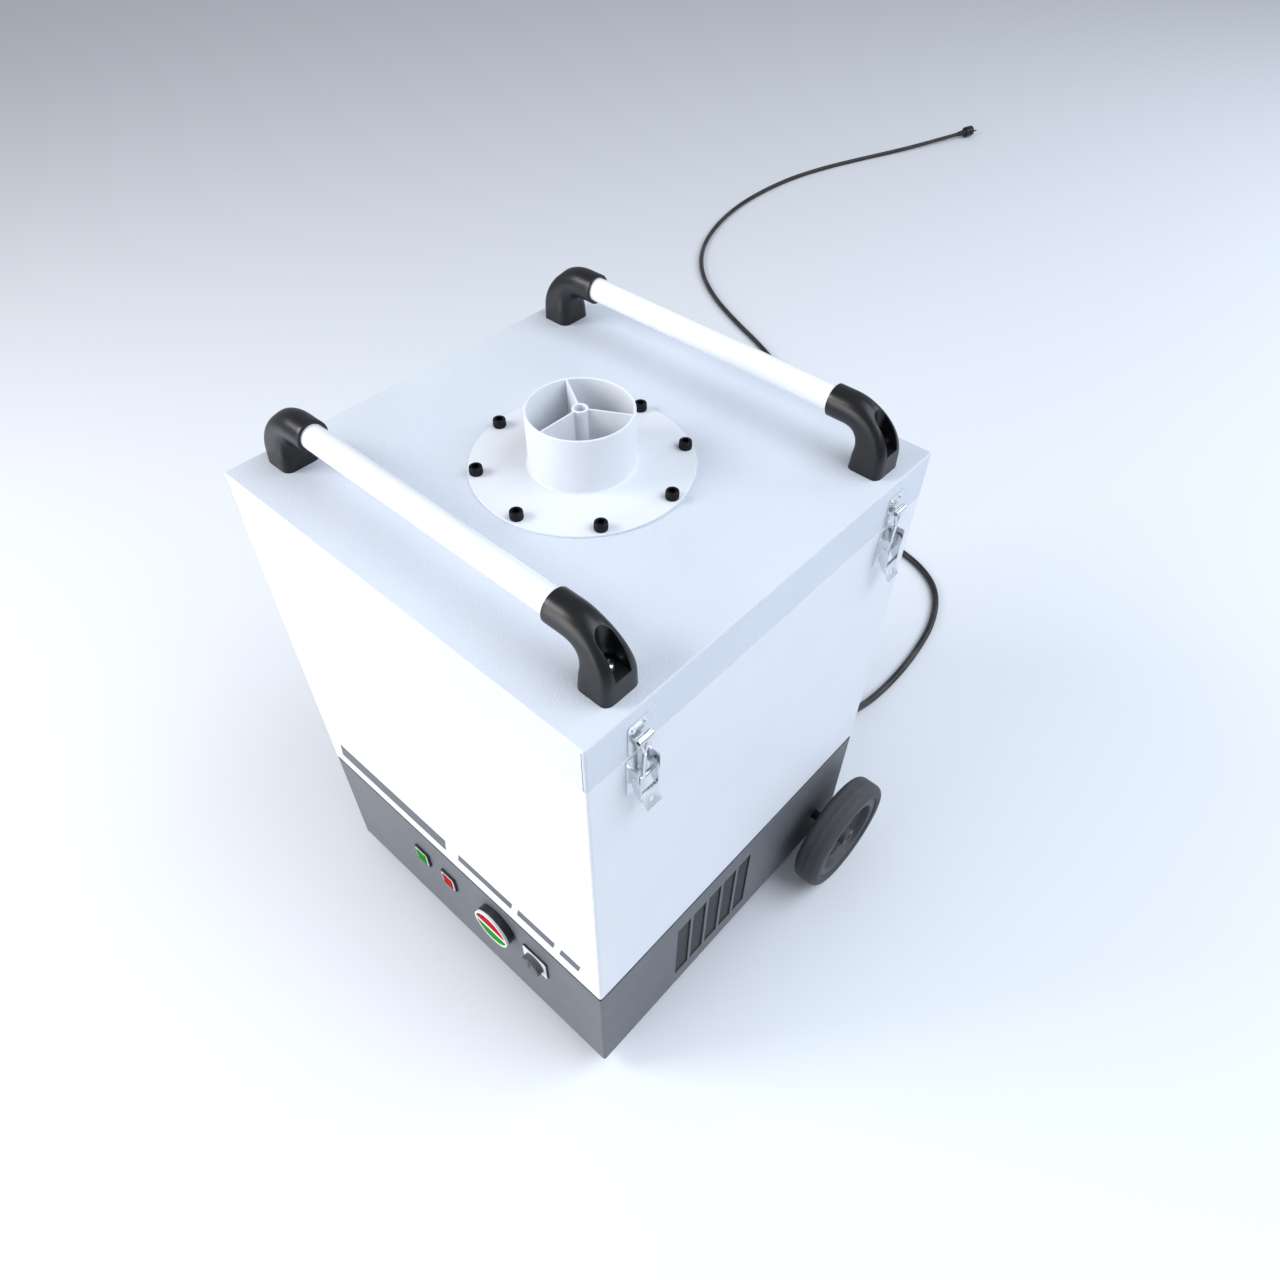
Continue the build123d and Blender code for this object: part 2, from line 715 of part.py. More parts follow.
def filter_media():
    """The folded filter sheet: a zigzag with flat outer faces, cut to the inside of its frame."""
    half_x = FILTER_X / 2 - FILTER_WALL
    low, high = FILTER_Z[0] + 8, FILTER_Z[1] - 8
    thick = 6.0
    pitch = 2 * half_x / PLEATS
    upper = []
    for i in range(PLEATS):
        left = -half_x + pitch * i
        upper += [(left, low + thick), (left + pitch / 2, high)]
    upper.append((half_x, low + thick))
    lower = [(x, z - thick) for x, z in reversed(upper)]
    face = make_face(Polyline(*upper, *lower, close=True))
    half_y = FILTER_Y / 2 - FILTER_WALL
    return Pos(0, half_y, 0) * extrude(Plane.XZ * face, 2 * half_y)


def prefilter_mat():
    return tower(FILTER_X, FILTER_Y, (FILTER_Z[1], FILTER_Z[1] + MAT_T), 6)


def save_filter():
    save("filter_rails", filter_rail(), mirrored(filter_rail()))
    save("filter_frame", filter_frame())
    save("filter_media", filter_media())
    save("prefilter_mat", prefilter_mat())


# ---------------- fan ----------------
def motor_mount():
    floor = BASE_BOTTOM + 3
    plate = Pos(0, FAN_Y, floor + 14) * Box(190, 190, 4)
    for x in (-80, 80):
        for y in (-80, 80):
            plate += upright(8, (floor, floor + 13), (x, FAN_Y + y))
    return plate


def fan_motor():
    floor = BASE_BOTTOM + 19
    motor = upright(MOTOR_R - 4, (floor, MOTOR_TOP), (0, FAN_Y))
    fins = 8
    for i in range(fins):
        z = floor + 8 + i * 10
        motor += upright(MOTOR_R, (z, z + 4), (0, FAN_Y))
    return motor + upright(SHAFT_R, (MOTOR_TOP - 1, IMPELLER_Z[0] + 30), (0, FAN_Y))


def blade(degrees):
    """One backward-leaning blade."""
    arc = ThreePointArc((60, 0), (98, 26), (132, 30))
    strip = extrude(trace(arc, 2.5), IMPELLER_Z[1] - IMPELLER_Z[0] - 4)
    return Pos(0, FAN_Y, IMPELLER_Z[0] + 2) * Rot(0, 0, degrees) * strip


def fan_impeller():
    low, high = IMPELLER_Z
    wheel = upright(IMPELLER_R, (low, low + 3), (0, FAN_Y))
    wheel += upright(22, (low, low + 34), (0, FAN_Y))
    shroud = upright(IMPELLER_R, (high - 3, high), (0, FAN_Y))
    wheel += shroud - upright(INLET_R + 6, (high - 4, high + 1), (0, FAN_Y))
    for i in range(BLADES):
        wheel += blade(360 / BLADES * i)
    return wheel - upright(SHAFT_R + RUN_FIT, (low - 1, low + 40), (0, FAN_Y))


def inlet_cone():
    """The flared ring that leads air from the divider plate into the fan wheel."""
    throat = INLET_R - 4
    outline = [
        (throat, 238),
        (throat, 246),
        (INLET_R, BASE_TOP - 3),
        (INLET_R + 25, BASE_TOP - 3),
        (INLET_R + 25, BASE_TOP),
        (INLET_R - 2, BASE_TOP),
        (throat - 3, 247),
        (throat - 3, 238),
    ]
    face = make_face(Polyline(*outline, close=True))
    return Pos(0, FAN_Y, 0) * revolve(Plane.XZ * face, Axis.Z, 360)


def save_fan():
    save("motor_mount", motor_mount())
    save("fan_motor", fan_motor())
    save("fan_impeller", fan_impeller())
    save("inlet_cone", inlet_cone())


# ---------------- mains cable ----------------
def cable_gland():
    nut = Plane((GLAND_X, REAR_Y, GLAND_Z), z_dir=(0, 1, 0)) * RegularPolygon(16, 6)
    gland = extrude(nut, 12)
    gland += along(13, GLAND_X, (REAR_Y + 11, REAR_Y + GLAND_LEN), GLAND_Z)
    return gland + along(8.5, GLAND_X, (REAR_Y - 14, REAR_Y), GLAND_Z)


def strain_relief():
    start = REAR_Y + GLAND_LEN
    relief = Plane((GLAND_X, start, GLAND_Z), z_dir=(0, 1, 0)) * Circle(10.5)
    return extrude(relief, RELIEF_LEN, taper=math.degrees(math.atan((10.5 - 8) / RELIEF_LEN)))


def corner_radii(points):
    """Radius of the arc at each inner corner of a route: as large as its two runs allow."""
    radii = []
    for before, here, after in zip(points, points[1:], points[2:]):
        run_in, run_out = here - before, after - here
        turn = math.radians(run_in.get_angle(run_out))
        radii.append(0.45 * min(run_in.length, run_out.length) / math.tan(turn / 2))
    return radii


def mains_cable():
    points = [Vector(*p) for p in CABLE_ROUTE]
    radii = corner_radii(points)
    path = FilletPolyline(*points, radius=radii)
    start = Plane(points[0], z_dir=points[1] - points[0])
    tube = sweep(start * Circle(CABLE_R), path=path)
    section = math.pi * CABLE_R**2
    print("cable radii", [round(r) for r in radii], "least", round(min(radii)), "mm")
    print("cable length", round(path.length, 1), "volume ratio", tube.volume / (section * path.length))
    return tube


def mains_plug():
    """A plain two-pin plug that continues the cable's last run."""
    points = [Vector(*p) for p in CABLE_ROUTE[-2:]]
    along_cable = (points[1] - points[0]).normalized()
    neck, grip, pins = 30.0, 36.0, 19.0
    profile = [(0, 0), (9, 0), (11, neck), (PLUG_R - 3, neck + 4), (PLUG_R - 0.4, neck + 12)]
    profile += [(PLUG_R - 0.4, neck + grip - 2), (PLUG_R - 2.4, neck + grip), (0, neck + grip)]
    face = make_face(Polyline(*profile, close=True))
    plug = revolve(Plane.XZ * face, Axis.Z, 360)
    for x in (-9.5, 9.5):
        plug += Pos(x, 0, neck + grip + pins / 2 - 1) * Cylinder(2.4, pins + 2)
    frame = Plane(points[1], x_dir=along_cable.cross(Vector(0, 0, 1)), z_dir=along_cable)
    return frame.location * plug


def save_cable():
    save("cable_gland", cable_gland())
    save("strain_relief", strain_relief())
    save("mains_cable", mains_cable())
    save("mains_plug", mains_plug())


save_base()
save_body()
save_controls()
save_lid()
save_handles()
save_latches()
save_wheels()
save_filter()
save_fan()
save_cable()
print("cabinet stands", round(Y_SHIFT, 3), "mm from the origin along Y")
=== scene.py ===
"""Looks of a mobile fume extractor: painted case, latched lid with a duct spigot, handles, wheels, cable.

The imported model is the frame: every piece here rides on one of its bodies and is measured from its nodes.
All lengths are metres. The control panel looks towards -Y, and +Z is up from the floor.
"""

import logging
import math
from collections.abc import Iterable, Sequence
from dataclasses import dataclass, field
from enum import Enum

import bmesh
import bpy
from mathutils import Matrix, Vector


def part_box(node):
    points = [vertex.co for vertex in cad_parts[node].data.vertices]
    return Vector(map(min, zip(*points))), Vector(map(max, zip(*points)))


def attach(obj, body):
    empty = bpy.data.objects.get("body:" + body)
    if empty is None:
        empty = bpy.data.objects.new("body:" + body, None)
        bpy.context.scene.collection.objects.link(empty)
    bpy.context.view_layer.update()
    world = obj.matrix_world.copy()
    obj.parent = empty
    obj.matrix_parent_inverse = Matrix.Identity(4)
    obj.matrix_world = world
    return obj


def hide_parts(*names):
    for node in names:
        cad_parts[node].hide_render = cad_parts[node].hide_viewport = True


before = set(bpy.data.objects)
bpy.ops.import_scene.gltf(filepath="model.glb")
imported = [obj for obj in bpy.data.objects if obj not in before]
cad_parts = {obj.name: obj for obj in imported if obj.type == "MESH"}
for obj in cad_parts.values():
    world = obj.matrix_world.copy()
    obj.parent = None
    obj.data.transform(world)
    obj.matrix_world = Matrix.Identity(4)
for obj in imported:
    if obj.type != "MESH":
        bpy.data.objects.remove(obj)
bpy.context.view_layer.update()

MM = 0.001
FULL_TURN = 2 * math.pi
WORN = "worn"
LOG = logging.getLogger("fume_extractor")

Colour = tuple[float, float, float]


class Side(Enum):
    """A side of the machine, as the sign of its x."""

    LEFT = -1
    RIGHT = 1


class End(Enum):
    """The front or the rear, as the sign of its y."""

    FRONT = -1
    REAR = 1


# ---------------------------------------------------------------- shared shader effects


def add_node(
    tree: bpy.types.NodeTree, kind: str, values: dict[int | str, object] | None = None, **settings: object
) -> bpy.types.Node:
    """Adds a shader node.

    Args:
        tree: The tree that gets the node.
        kind: Its type, without the leading ShaderNode.
        values: Input name or number to value.
        settings: The node's own properties, such as its operation.

    Returns:
        The new node.
    """
    node = tree.nodes.new(f"ShaderNode{kind}")
    for name, value in settings.items():
        setattr(node, name, value)
    for socket, value in (values or {}).items():
        node.inputs[socket].default_value = value
    return node


def wire(
    tree: bpy.types.NodeTree, *wires: tuple[bpy.types.Node, int | str, bpy.types.Node, int | str]
) -> None:
    """Links sockets of a tree.

    Args:
        tree: The tree.
        wires: For each link its node, that node's output, the next node and its input.
    """
    for start, output, end, socket in wires:
        tree.links.new(start.outputs[output], end.inputs[socket])


@dataclass
class Effects:
    """Node groups that several finishes share, each built once."""

    made: dict[str, bpy.types.NodeTree] = field(default_factory=dict)

    def group(self, name: str, inputs: Sequence[str], outputs: Sequence[str]) -> bpy.types.NodeTree:
        """Makes an empty group with its sockets.

        Args:
            name: What the effect is called.
            inputs: Its inputs. One that ends in Colour is a colour, Vector a vector, and the rest numbers.
            outputs: The same for what the group puts out.

        Returns:
            The new node tree, with a group input node and a group output node.
        """
        tree = bpy.data.node_groups.new(name, "ShaderNodeTree")
        for names, way in ((inputs, "INPUT"), (outputs, "OUTPUT")):
            for socket in names:
                kind = "Color" if socket.endswith("Colour") else "Vector" if socket == "Vector" else "Float"
                tree.interface.new_socket(socket, in_out=way, socket_type=f"NodeSocket{kind}")
        tree.nodes.new("NodeGroupInput")
        tree.nodes.new("NodeGroupOutput")
        self.made[name] = tree
        return tree

    def noise(self, tree: bpy.types.NodeTree, detail: float) -> bpy.types.Node:
        """Adds object-space noise whose scale is the group's Scale.

        Args:
            tree: The group that gets the noise.
            detail: How many finer layers the noise has.

        Returns:
            The noise node.
        """
        source = tree.nodes["Group Input"]
        node = add_node(tree, "TexNoise", {"Detail": detail})
        wire(tree, (source, "Vector", node, "Vector"), (source, "Scale", node, "Scale"))
        return node

    def cover(
        self, tree: bpy.types.NodeTree, colour: str, first: tuple[bpy.types.Node, str],
        second: tuple[bpy.types.Node, str],
    ) -> None:
        """Ends a group that lays one colour over another where two masks meet.

        Args:
            tree: The group.
            colour: The group input that is laid over its Colour.
            first: A node and the output that is one mask.
            second: The same for the other mask.
        """
        source, target = tree.nodes["Group Input"], tree.nodes["Group Output"]
        both = add_node(tree, "Math", operation="MULTIPLY")
        share = add_node(tree, "Math", operation="MULTIPLY")
        blend = add_node(tree, "Mix", data_type="RGBA")
        wire(
            tree, (*first, both, 0), (*second, both, 1), (both, 0, share, 0), (source, "Amount", share, 1),
            (share, 0, blend, 0), (source, "Colour", blend, 6), (source, colour, blend, 7),
            (blend, 2, target, "Colour"), (share, 0, target, "Mask"),
        )

    def drift(self) -> bpy.types.NodeTree:
        """Slow, faint changes of a colour's brightness over the surface."""
        if "colour_drift" in self.made:
            return self.made["colour_drift"]
        tree = self.group("colour_drift", ("Vector", "Colour", "Amount", "Scale"), ("Colour",))
        source, target = tree.nodes["Group Input"], tree.nodes["Group Output"]
        cloud = self.noise(tree, 4.0)
        spread = add_node(tree, "MapRange", {"From Min": 0.3, "From Max": 0.7, "To Min": -1.0, "To Max": 1.0})
        scaled = add_node(tree, "Math", {2: 1.0}, operation="MULTIPLY_ADD")
        tint = add_node(tree, "HueSaturation")
        wire(
            tree, (cloud, "Fac", spread, "Value"), (spread, "Result", scaled, 0),
            (source, "Amount", scaled, 1), (scaled, 0, tint, "Value"),
            (source, "Colour", tint, "Color"), (tint, "Color", target, "Colour"),
        )
        return tree

    def edge_wear(self) -> bpy.types.NodeTree:
        """Paint or plating rubbed through in patches along the marked edges."""
        if "edge_wear" in self.made:
            return self.made["edge_wear"]
        inputs = ("Vector", "Colour", "Worn Colour", "Edge", "Amount", "Scale")
        tree = self.group("edge_wear", inputs, ("Colour", "Mask"))
        patches = self.noise(tree, 6.0)
        rubbed = add_node(tree, "MapRange", {"From Min": 0.5, "From Max": 0.62})
        wire(tree, (patches, "Fac", rubbed, "Value"))
        self.cover(tree, "Worn Colour", (rubbed, "Result"), (tree.nodes["Group Input"], "Edge"))
        return tree

    def dust(self) -> bpy.types.NodeTree:
        """Fine workshop dust that settles on what faces up."""
        if "settled_dust" in self.made:
            return self.made["settled_dust"]
        inputs = ("Vector", "Colour", "Dust Colour", "Amount", "Scale")
        tree = self.group("settled_dust", inputs, ("Colour", "Mask"))
        cloud = self.noise(tree, 8.0)
        facing = add_node(tree, "NewGeometry")
        split = add_node(tree, "SeparateXYZ")
        upward = add_node(tree, "MapRange", {"From Min": 0.1, "From Max": 0.95})
        patchy = add_node(tree, "MapRange", {"From Min": 0.35, "From Max": 0.75})
        wire(
            tree, (facing, "Normal", split, 0), (split, "Z", upward, "Value"), (cloud, "Fac", patchy, "Value")
        )
        self.cover(tree, "Dust Colour", (upward, "Result"), (patchy, "Result"))
        return tree

    def smudge(self) -> bpy.types.NodeTree:
        """Roughness that changes in soft patches, as where hands and cloths have been."""
        if "smudged_roughness" in self.made:
            return self.made["smudged_roughness"]
        inputs = ("Vector", "Roughness", "Amount", "Scale", "Mask")
        tree = self.group("smudged_roughness", inputs, ("Roughness",))
        source, target = tree.nodes["Group Input"], tree.nodes["Group Output"]
        cloud = self.noise(tree, 5.0)
        centred = add_node(tree, "Math", {1: 0.5}, operation="SUBTRACT")
        scaled = add_node(tree, "Math", operation="MULTIPLY_ADD")
        rougher = add_node(tree, "Math", {1: 0.25}, operation="MULTIPLY_ADD", use_clamp=True)
        wire(
            tree, (cloud, "Fac", centred, 0), (centred, 0, scaled, 0), (source, "Amount", scaled, 1),
            (source, "Roughness", scaled, 2), (source, "Mask", rougher, 0), (scaled, 0, rougher, 2),
            (rougher, 0, target, "Roughness"),
        )
        return tree

    def grain(self) -> bpy.types.NodeTree:
        """Small rounded bumps, as of powder coat, spark-eroded plastic or rubber."""
        if "fine_grain" in self.made:
            return self.made["fine_grain"]
        tree = self.group("fine_grain", ("Vector", "Scale"), ("Height",))
        source, target = tree.nodes["Group Input"], tree.nodes["Group Output"]
        cloud = self.noise(tree, 2.0)
        cells = add_node(tree, "TexVoronoi", feature="SMOOTH_F1")
        finer = add_node(tree, "Math", {1: 1.7}, operation="MULTIPLY")
        both = add_node(tree, "Math", {1: 0.5}, operation="MULTIPLY_ADD")
        wire(
            tree, (source, "Scale", finer, 0), (source, "Vector", cells, "Vector"),
            (finer, 0, cells, "Scale"), (cells, "Distance", both, 0),
            (cloud, "Fac", both, 2), (both, 0, target, "Height"),
        )
        return tree

    def brushing(self) -> bpy.types.NodeTree:
        """Fine parallel scratches, as of rolled or brushed sheet metal."""
        if "brushing" in self.made:
            return self.made["brushing"]
        tree = self.group("brushing", ("Vector", "Scale"), ("Height",))
        source, target = tree.nodes["Group Input"], tree.nodes["Group Output"]
        stretch = add_node(tree, "Mapping", {"Scale": (1.0, 1.0, 0.04)})
        streaks = add_node(tree, "TexNoise", {"Detail": 3.0})
        wire(
            tree, (source, "Vector", stretch, "Vector"), (stretch, 0, streaks, "Vector"),
            (source, "Scale", streaks, "Scale"), (streaks, "Fac", target, "Height"),
        )
        return tree

    def fleece(self) -> bpy.types.NodeTree:
        """Tangled fibres, as of a filter mat or folded filter paper."""
        if "fleece" in self.made:
            return self.made["fleece"]
        tree = self.group("fleece", ("Vector", "Scale"), ("Height",))
        cloud = self.noise(tree, 10.0)
        cloud.inputs["Distortion"].default_value = 2.5
        wire(tree, (cloud, "Fac", tree.nodes["Group Output"], "Height"))
        return tree


# ---------------------------------------------------------------- finishes


@dataclass(frozen=True)
class Finish:
    """A surface finish and the name of the slot that it belongs to."""

    name: str
    slot: str
    colour: Colour
    roughness: float = 0.5
    metallic: float = 0.0
    coat: float = 0.0
    specular: float = 0.5
    grain_scale: float = 900.0
    grain_height: float = 0.05
    drift: float = 0.03
    drift_scale: float = 6.0
    smudge: float = 0.12
    wear: float = 0.3
    worn_colour: Colour = (0.45, 0.45, 0.46)
    dust: float = 0.12
    dust_colour: Colour = (0.55, 0.54, 0.52)

    def bumps(self, effects: Effects) -> bpy.types.NodeTree:
        """The effect that gives this finish its relief."""
        return effects.grain()

    def material(self, effects: Effects) -> bpy.types.Material:
        """Builds the finish as a material, once.

        Args:
            effects: The shared node groups.

        Returns:
            The material, which later calls find again by its name.
        """
        known = bpy.data.materials.get(self.name)
        if known is not None:
            return known
        material = bpy.data.materials.new(self.name)
        material.use_nodes = True
        tree = material.node_tree
        shader = tree.nodes["Principled BSDF"]
        values = {
            "Metallic": self.metallic, "Specular IOR Level": self.specular, "Coat Weight": self.coat,
            "Coat Roughness": 0.12,
        }
        for socket, value in values.items():
            shader.inputs[socket].default_value = value
        place = add_node(tree, "TexCoord")
        edge = add_node(tree, "Attribute", attribute_name=WORN)
        colour, worn, dusty = ((*c, 1.0) for c in (self.colour, self.worn_colour, self.dust_colour))
        layers = (
            (effects.drift(), {"Colour": colour, "Amount": self.drift, "Scale": self.drift_scale}),
            (effects.edge_wear(), {"Worn Colour": worn, "Amount": self.wear, "Scale": 60.0}),
            (effects.dust(), {"Dust Colour": dusty, "Amount": self.dust, "Scale": 18.0}),
            (effects.smudge(), {"Roughness": self.roughness, "Amount": self.smudge, "Scale": 14.0}),
            (self.bumps(effects), {"Scale": self.grain_scale}),
        )
        tint, wear, dust, smudge, relief = (
            add_node(tree, "Group", settings, node_tree=group) for group, settings in layers
        )
        bump = add_node(tree, "Bump", {"Distance": self.grain_height * MM})
        wire(
            tree, *((place, "Object", layer, "Vector") for layer in (tint, wear, dust, smudge, relief)),
            (tint, "Colour", wear, "Colour"), (edge, "Fac", wear, "Edge"), (wear, "Colour", dust, "Colour"),
            (dust, "Colour", shader, "Base Color"), (dust, "Mask", smudge, "Mask"),
            (smudge, "Roughness", shader, "Roughness"), (relief, "Height", bump, "Height"),
            (bump, "Normal", shader, "Normal"),
        )
        return material


@dataclass(frozen=True)
class MetalFinish(Finish):
    """Bare or plated metal, with fine parallel scratches."""

    metallic: float = 1.0
    grain_height: float = 0.01
    worn_colour: Colour = (0.35, 0.34, 0.33)

    def bumps(self, effects: Effects) -> bpy.types.NodeTree:
        """Scratches in place of grain."""
        return effects.brushing()


@dataclass(frozen=True)
class FibreFinish(Finish):
    """Fleece or filter paper."""

    roughness: float = 0.95
    specular: float = 0.2
    wear: float = 0.0

    def bumps(self, effects: Effects) -> bpy.types.NodeTree:
        """Fibres in place of grain."""
        return effects.fleece()


WHITE_COAT = Finish(
    "white_powder_coat", "white_paint", (0.77, 0.80, 0.85), 0.42, grain_scale=650.0, grain_height=0.16,
    drift=0.02, wear=0.25, worn_colour=(0.55, 0.57, 0.60), dust=0.10, dust_colour=(0.62, 0.64, 0.68),
)
# A darker copy of the white powder coat for the lid's top face: painted shade, as the lid wears the same
# paint as the body.
SHADED_LID_COAT = Finish(
    "lid_powder_coat", "white_paint", (0.66, 0.705, 0.78), 0.46, grain_scale=420.0, grain_height=0.42,
    drift=0.035, drift_scale=9.0, wear=0.25, worn_colour=(0.58, 0.60, 0.63), dust=0.22,
    dust_colour=(0.60, 0.63, 0.68),
)
GREY_COAT = Finish(
    "grey_powder_coat", "grey_paint", (0.118, 0.124, 0.140), 0.48, grain_scale=650.0, grain_height=0.14,
    drift=0.06, wear=0.5, worn_colour=(0.26, 0.27, 0.29), dust=0.14, dust_colour=(0.30, 0.30, 0.31),
)
HANDLE_PAINT = Finish(
    "handle_gloss_paint", "handle_white", (0.86, 0.88, 0.92), 0.22, coat=0.4, grain_scale=260.0,
    grain_height=0.03, drift=0.015, wear=0.3, worn_colour=(0.62, 0.63, 0.66), dust=0.04,
)
BLACK_NYLON = Finish(
    "black_nylon", "black_plastic", (0.005, 0.005, 0.006), 0.32, specular=0.45, grain_scale=1500.0,
    grain_height=0.04, drift=0.10, wear=0.4, worn_colour=(0.03, 0.03, 0.032), dust=0.02,
    dust_colour=(0.06, 0.06, 0.06),
)
PANEL_BLACK = Finish(
    "panel_black_plastic", "black_plastic", (0.016, 0.017, 0.021), 0.30, grain_scale=1600.0,
    grain_height=0.03, drift=0.10, wear=0.4, worn_colour=(0.06, 0.06, 0.065), dust=0.06,
)
WHITE_PLASTIC = Finish(
    "white_moulded_plastic", "white_plastic", (0.80, 0.81, 0.84), 0.30, grain_scale=1400.0,
    grain_height=0.02, drift=0.02, wear=0.3, worn_colour=(0.66, 0.66, 0.67), dust=0.08,
)
KNOB_GREY = Finish(
    "knob_grey_plastic", "knob_grey", (0.070, 0.075, 0.086), 0.42, grain_scale=1500.0, grain_height=0.05,
    drift=0.08, wear=0.5, worn_colour=(0.16, 0.16, 0.17), dust=0.10,
)
STOP_RED = Finish(
    "stop_red_plastic", "red_plastic", (0.40, 0.0005, 0.001), 0.5, specular=0.03, grain_scale=1500.0,
    grain_height=0.015, drift=0.05, wear=0.2, worn_colour=(0.45, 0.005, 0.005), dust=0.0,
)
START_GREEN = Finish(
    "start_green_plastic", "green_plastic", (0.006, 0.23, 0.0008), 0.5, specular=0.03, grain_scale=1500.0,
    grain_height=0.015, drift=0.05, wear=0.2, worn_colour=(0.02, 0.27, 0.01), dust=0.0,
)
RUBBER = Finish(
    "black_rubber", "rubber_black", (0.020, 0.020, 0.022), 0.75, specular=0.3, grain_scale=900.0,
    grain_height=0.08, drift=0.10, wear=0.3, worn_colour=(0.08, 0.08, 0.08), dust=0.2,
)
TYRE_RUBBER = Finish(
    "tyre_rubber", "tyre_grey", (0.052, 0.054, 0.060), 0.62, specular=0.35, grain_scale=500.0,
    grain_height=0.12, drift=0.10, drift_scale=20.0, wear=0.5, worn_colour=(0.13, 0.13, 0.13),
    dust=0.22, dust_colour=(0.20, 0.20, 0.20),
)
HUB_PLASTIC = Finish(
    "hub_plastic", "hub_grey", (0.050, 0.052, 0.058), 0.5, grain_scale=1200.0, grain_height=0.05,
    drift=0.08, drift_scale=20.0, wear=0.5, worn_colour=(0.13, 0.13, 0.14), dust=0.18,
    dust_colour=(0.20, 0.20, 0.20),
)
CABLE_SHEATH = Finish(
    "cable_sheath", "cable_rubber", (0.012, 0.012, 0.014), 0.42, specular=0.45, grain_scale=700.0,
    grain_height=0.06, drift=0.12, drift_scale=10.0, wear=0.0, dust=0.08,
)
MESH_PAINT = Finish(
    "grille_mesh_paint", "mesh_dark", (0.055, 0.059, 0.066), 0.45, grain_scale=1500.0, grain_height=0.02,
    drift=0.06, wear=0.3, worn_colour=(0.16, 0.16, 0.17), dust=0.1, dust_colour=(0.2, 0.2, 0.2),
)
STRIPE_PRINT = Finish(
    "stripe_print", "stripe_grey", (0.085, 0.09, 0.10), 0.38, grain_scale=650.0, grain_height=0.05,
    drift=0.04, wear=0.2, worn_colour=(0.4, 0.4, 0.42), dust=0.05,
)
ZINC = MetalFinish(
    "bright_zinc", "zinc", (0.72, 0.74, 0.77), 0.24, grain_scale=1800.0, drift=0.06, drift_scale=40.0,
    smudge=0.25, wear=0.4, dust=0.04,
)
SHEET_STEEL = MetalFinish(
    "galvanised_sheet", "bare_steel", (0.50, 0.52, 0.54), 0.38, grain_scale=700.0, drift=0.12,
    drift_scale=30.0, smudge=0.3, wear=0.2, dust=0.12,
)
BLACK_OXIDE = MetalFinish(
    "black_oxide", "black_oxide", (0.022, 0.023, 0.026), 0.36, metallic=0.6, grain_scale=1800.0,
    drift=0.1, wear=0.7, worn_colour=(0.16, 0.16, 0.17), dust=0.03,
)
MOTOR_PAINT = Finish(
    "motor_paint", "motor_grey", (0.10, 0.12, 0.15), 0.42, grain_scale=400.0, grain_height=0.25,
    drift=0.08, wear=0.4, dust=0.2,
)
FILTER_CARD = FibreFinish(
    "filter_paper", "filter_card", (0.74, 0.70, 0.60), grain_scale=500.0, grain_height=0.2, dust=0.2,
)
FILTER_MAT = FibreFinish(
    "filter_fleece", "filter_mat", (0.68, 0.70, 0.73), grain_scale=260.0, grain_height=1.2, dust=0.2,
)


# ---------------------------------------------------------------- mesh work


def blank() -> bmesh.types.BMesh:
    """An empty bmesh whose faces can be marked as worn edges."""
    bm = bmesh.new()
    bm.faces.layers.float.new(WORN)
    return bm


def ease(bm: bmesh.types.BMesh, edges: Iterable[bmesh.types.BMEdge], width: float, segments: int = 2) -> None:
    """Bevels edges and marks the new faces as worn.

    Args:
        bm: The mesh.
        edges: The edges to round off.
        width: The bevel's width in metres.
        segments: How many faces go round each bevel.
    """
    chosen = [e for e in edges if e.is_valid]
    if not chosen:
        return
    made = bmesh.ops.bevel(
        bm, geom=chosen, offset=width, offset_type="OFFSET", segments=segments, profile=0.5,
        affect="EDGES", clamp_overlap=True, material=-1,
    )
    layer = bm.faces.layers.float[WORN]
    for face in made["faces"]:
        face[layer] = 1.0


def sharp_edges(bm: bmesh.types.BMesh, degrees: float = 32.0) -> list[bmesh.types.BMEdge]:
    """The edges whose two faces meet at more than an angle."""
    limit = math.radians(degrees)
    return [e for e in bm.edges if len(e.link_faces) == 2 and e.calc_face_angle(0.0) > limit]


def add_block(
    bm: bmesh.types.BMesh, low: Sequence[float], high: Sequence[float], width: float = 0.0, segments: int = 2
) -> None:
    """Adds a box between two corners, its edges eased.

    Args:
        bm: The mesh.
        low: The lowest corner.
        high: The highest corner.
        width: The bevel's width, or 0 for none.
        segments: How many faces go round each bevel.
    """
    a, b = Vector(low), Vector(high)
    size = b - a
    place = Matrix.Translation((a + b) / 2) @ Matrix.Diagonal((size.x, size.y, size.z, 1.0))
    made = bmesh.ops.create_cube(bm, size=1.0, matrix=place)
    if width > 0:
        ease(bm, {e for v in made["verts"] for e in v.link_edges}, width, segments)


def add_lathe(
    bm: bmesh.types.BMesh, profile: Sequence[tuple[float, float]], centre: Vector, axis: Vector,
    steps: int = 64,
) -> None:
    """Spins an open outline round an axis. The outline's ends lie on the axis, or it is closed.

    Args:
        bm: The mesh.
        profile: (radius, distance along the axis) pairs.
        centre: The point on the axis where the distance is 0.
        axis: The direction of the axis.
        steps: How many faces go round.
    """
    turn = Vector((0, 0, 1)).rotation_difference(axis.normalized()).to_matrix()
    points = [centre + turn @ Vector((radius, 0, height)) for radius, height in profile]
    verts = [bm.verts.new(p) for p in points]
    pairs = zip(verts, verts[1:], strict=False)
    edges = [bm.edges.new(pair) for pair in pairs if (pair[0].co - pair[1].co).length > 1e-9]
    before = set(bm.verts)
    bmesh.ops.spin(
        bm, geom=verts + edges, cent=centre, axis=axis, angle=FULL_TURN, steps=steps, use_merge=True
    )
    new = [v for v in bm.verts if v not in before] + [v for v in verts if v.is_valid]
    bmesh.ops.remove_doubles(bm, verts=new, dist=1e-6)


def closed(profile: Sequence[tuple[float, float]]) -> list[tuple[float, float]]:
    """An outline that ends where it starts."""
    return [*profile, profile[0]]


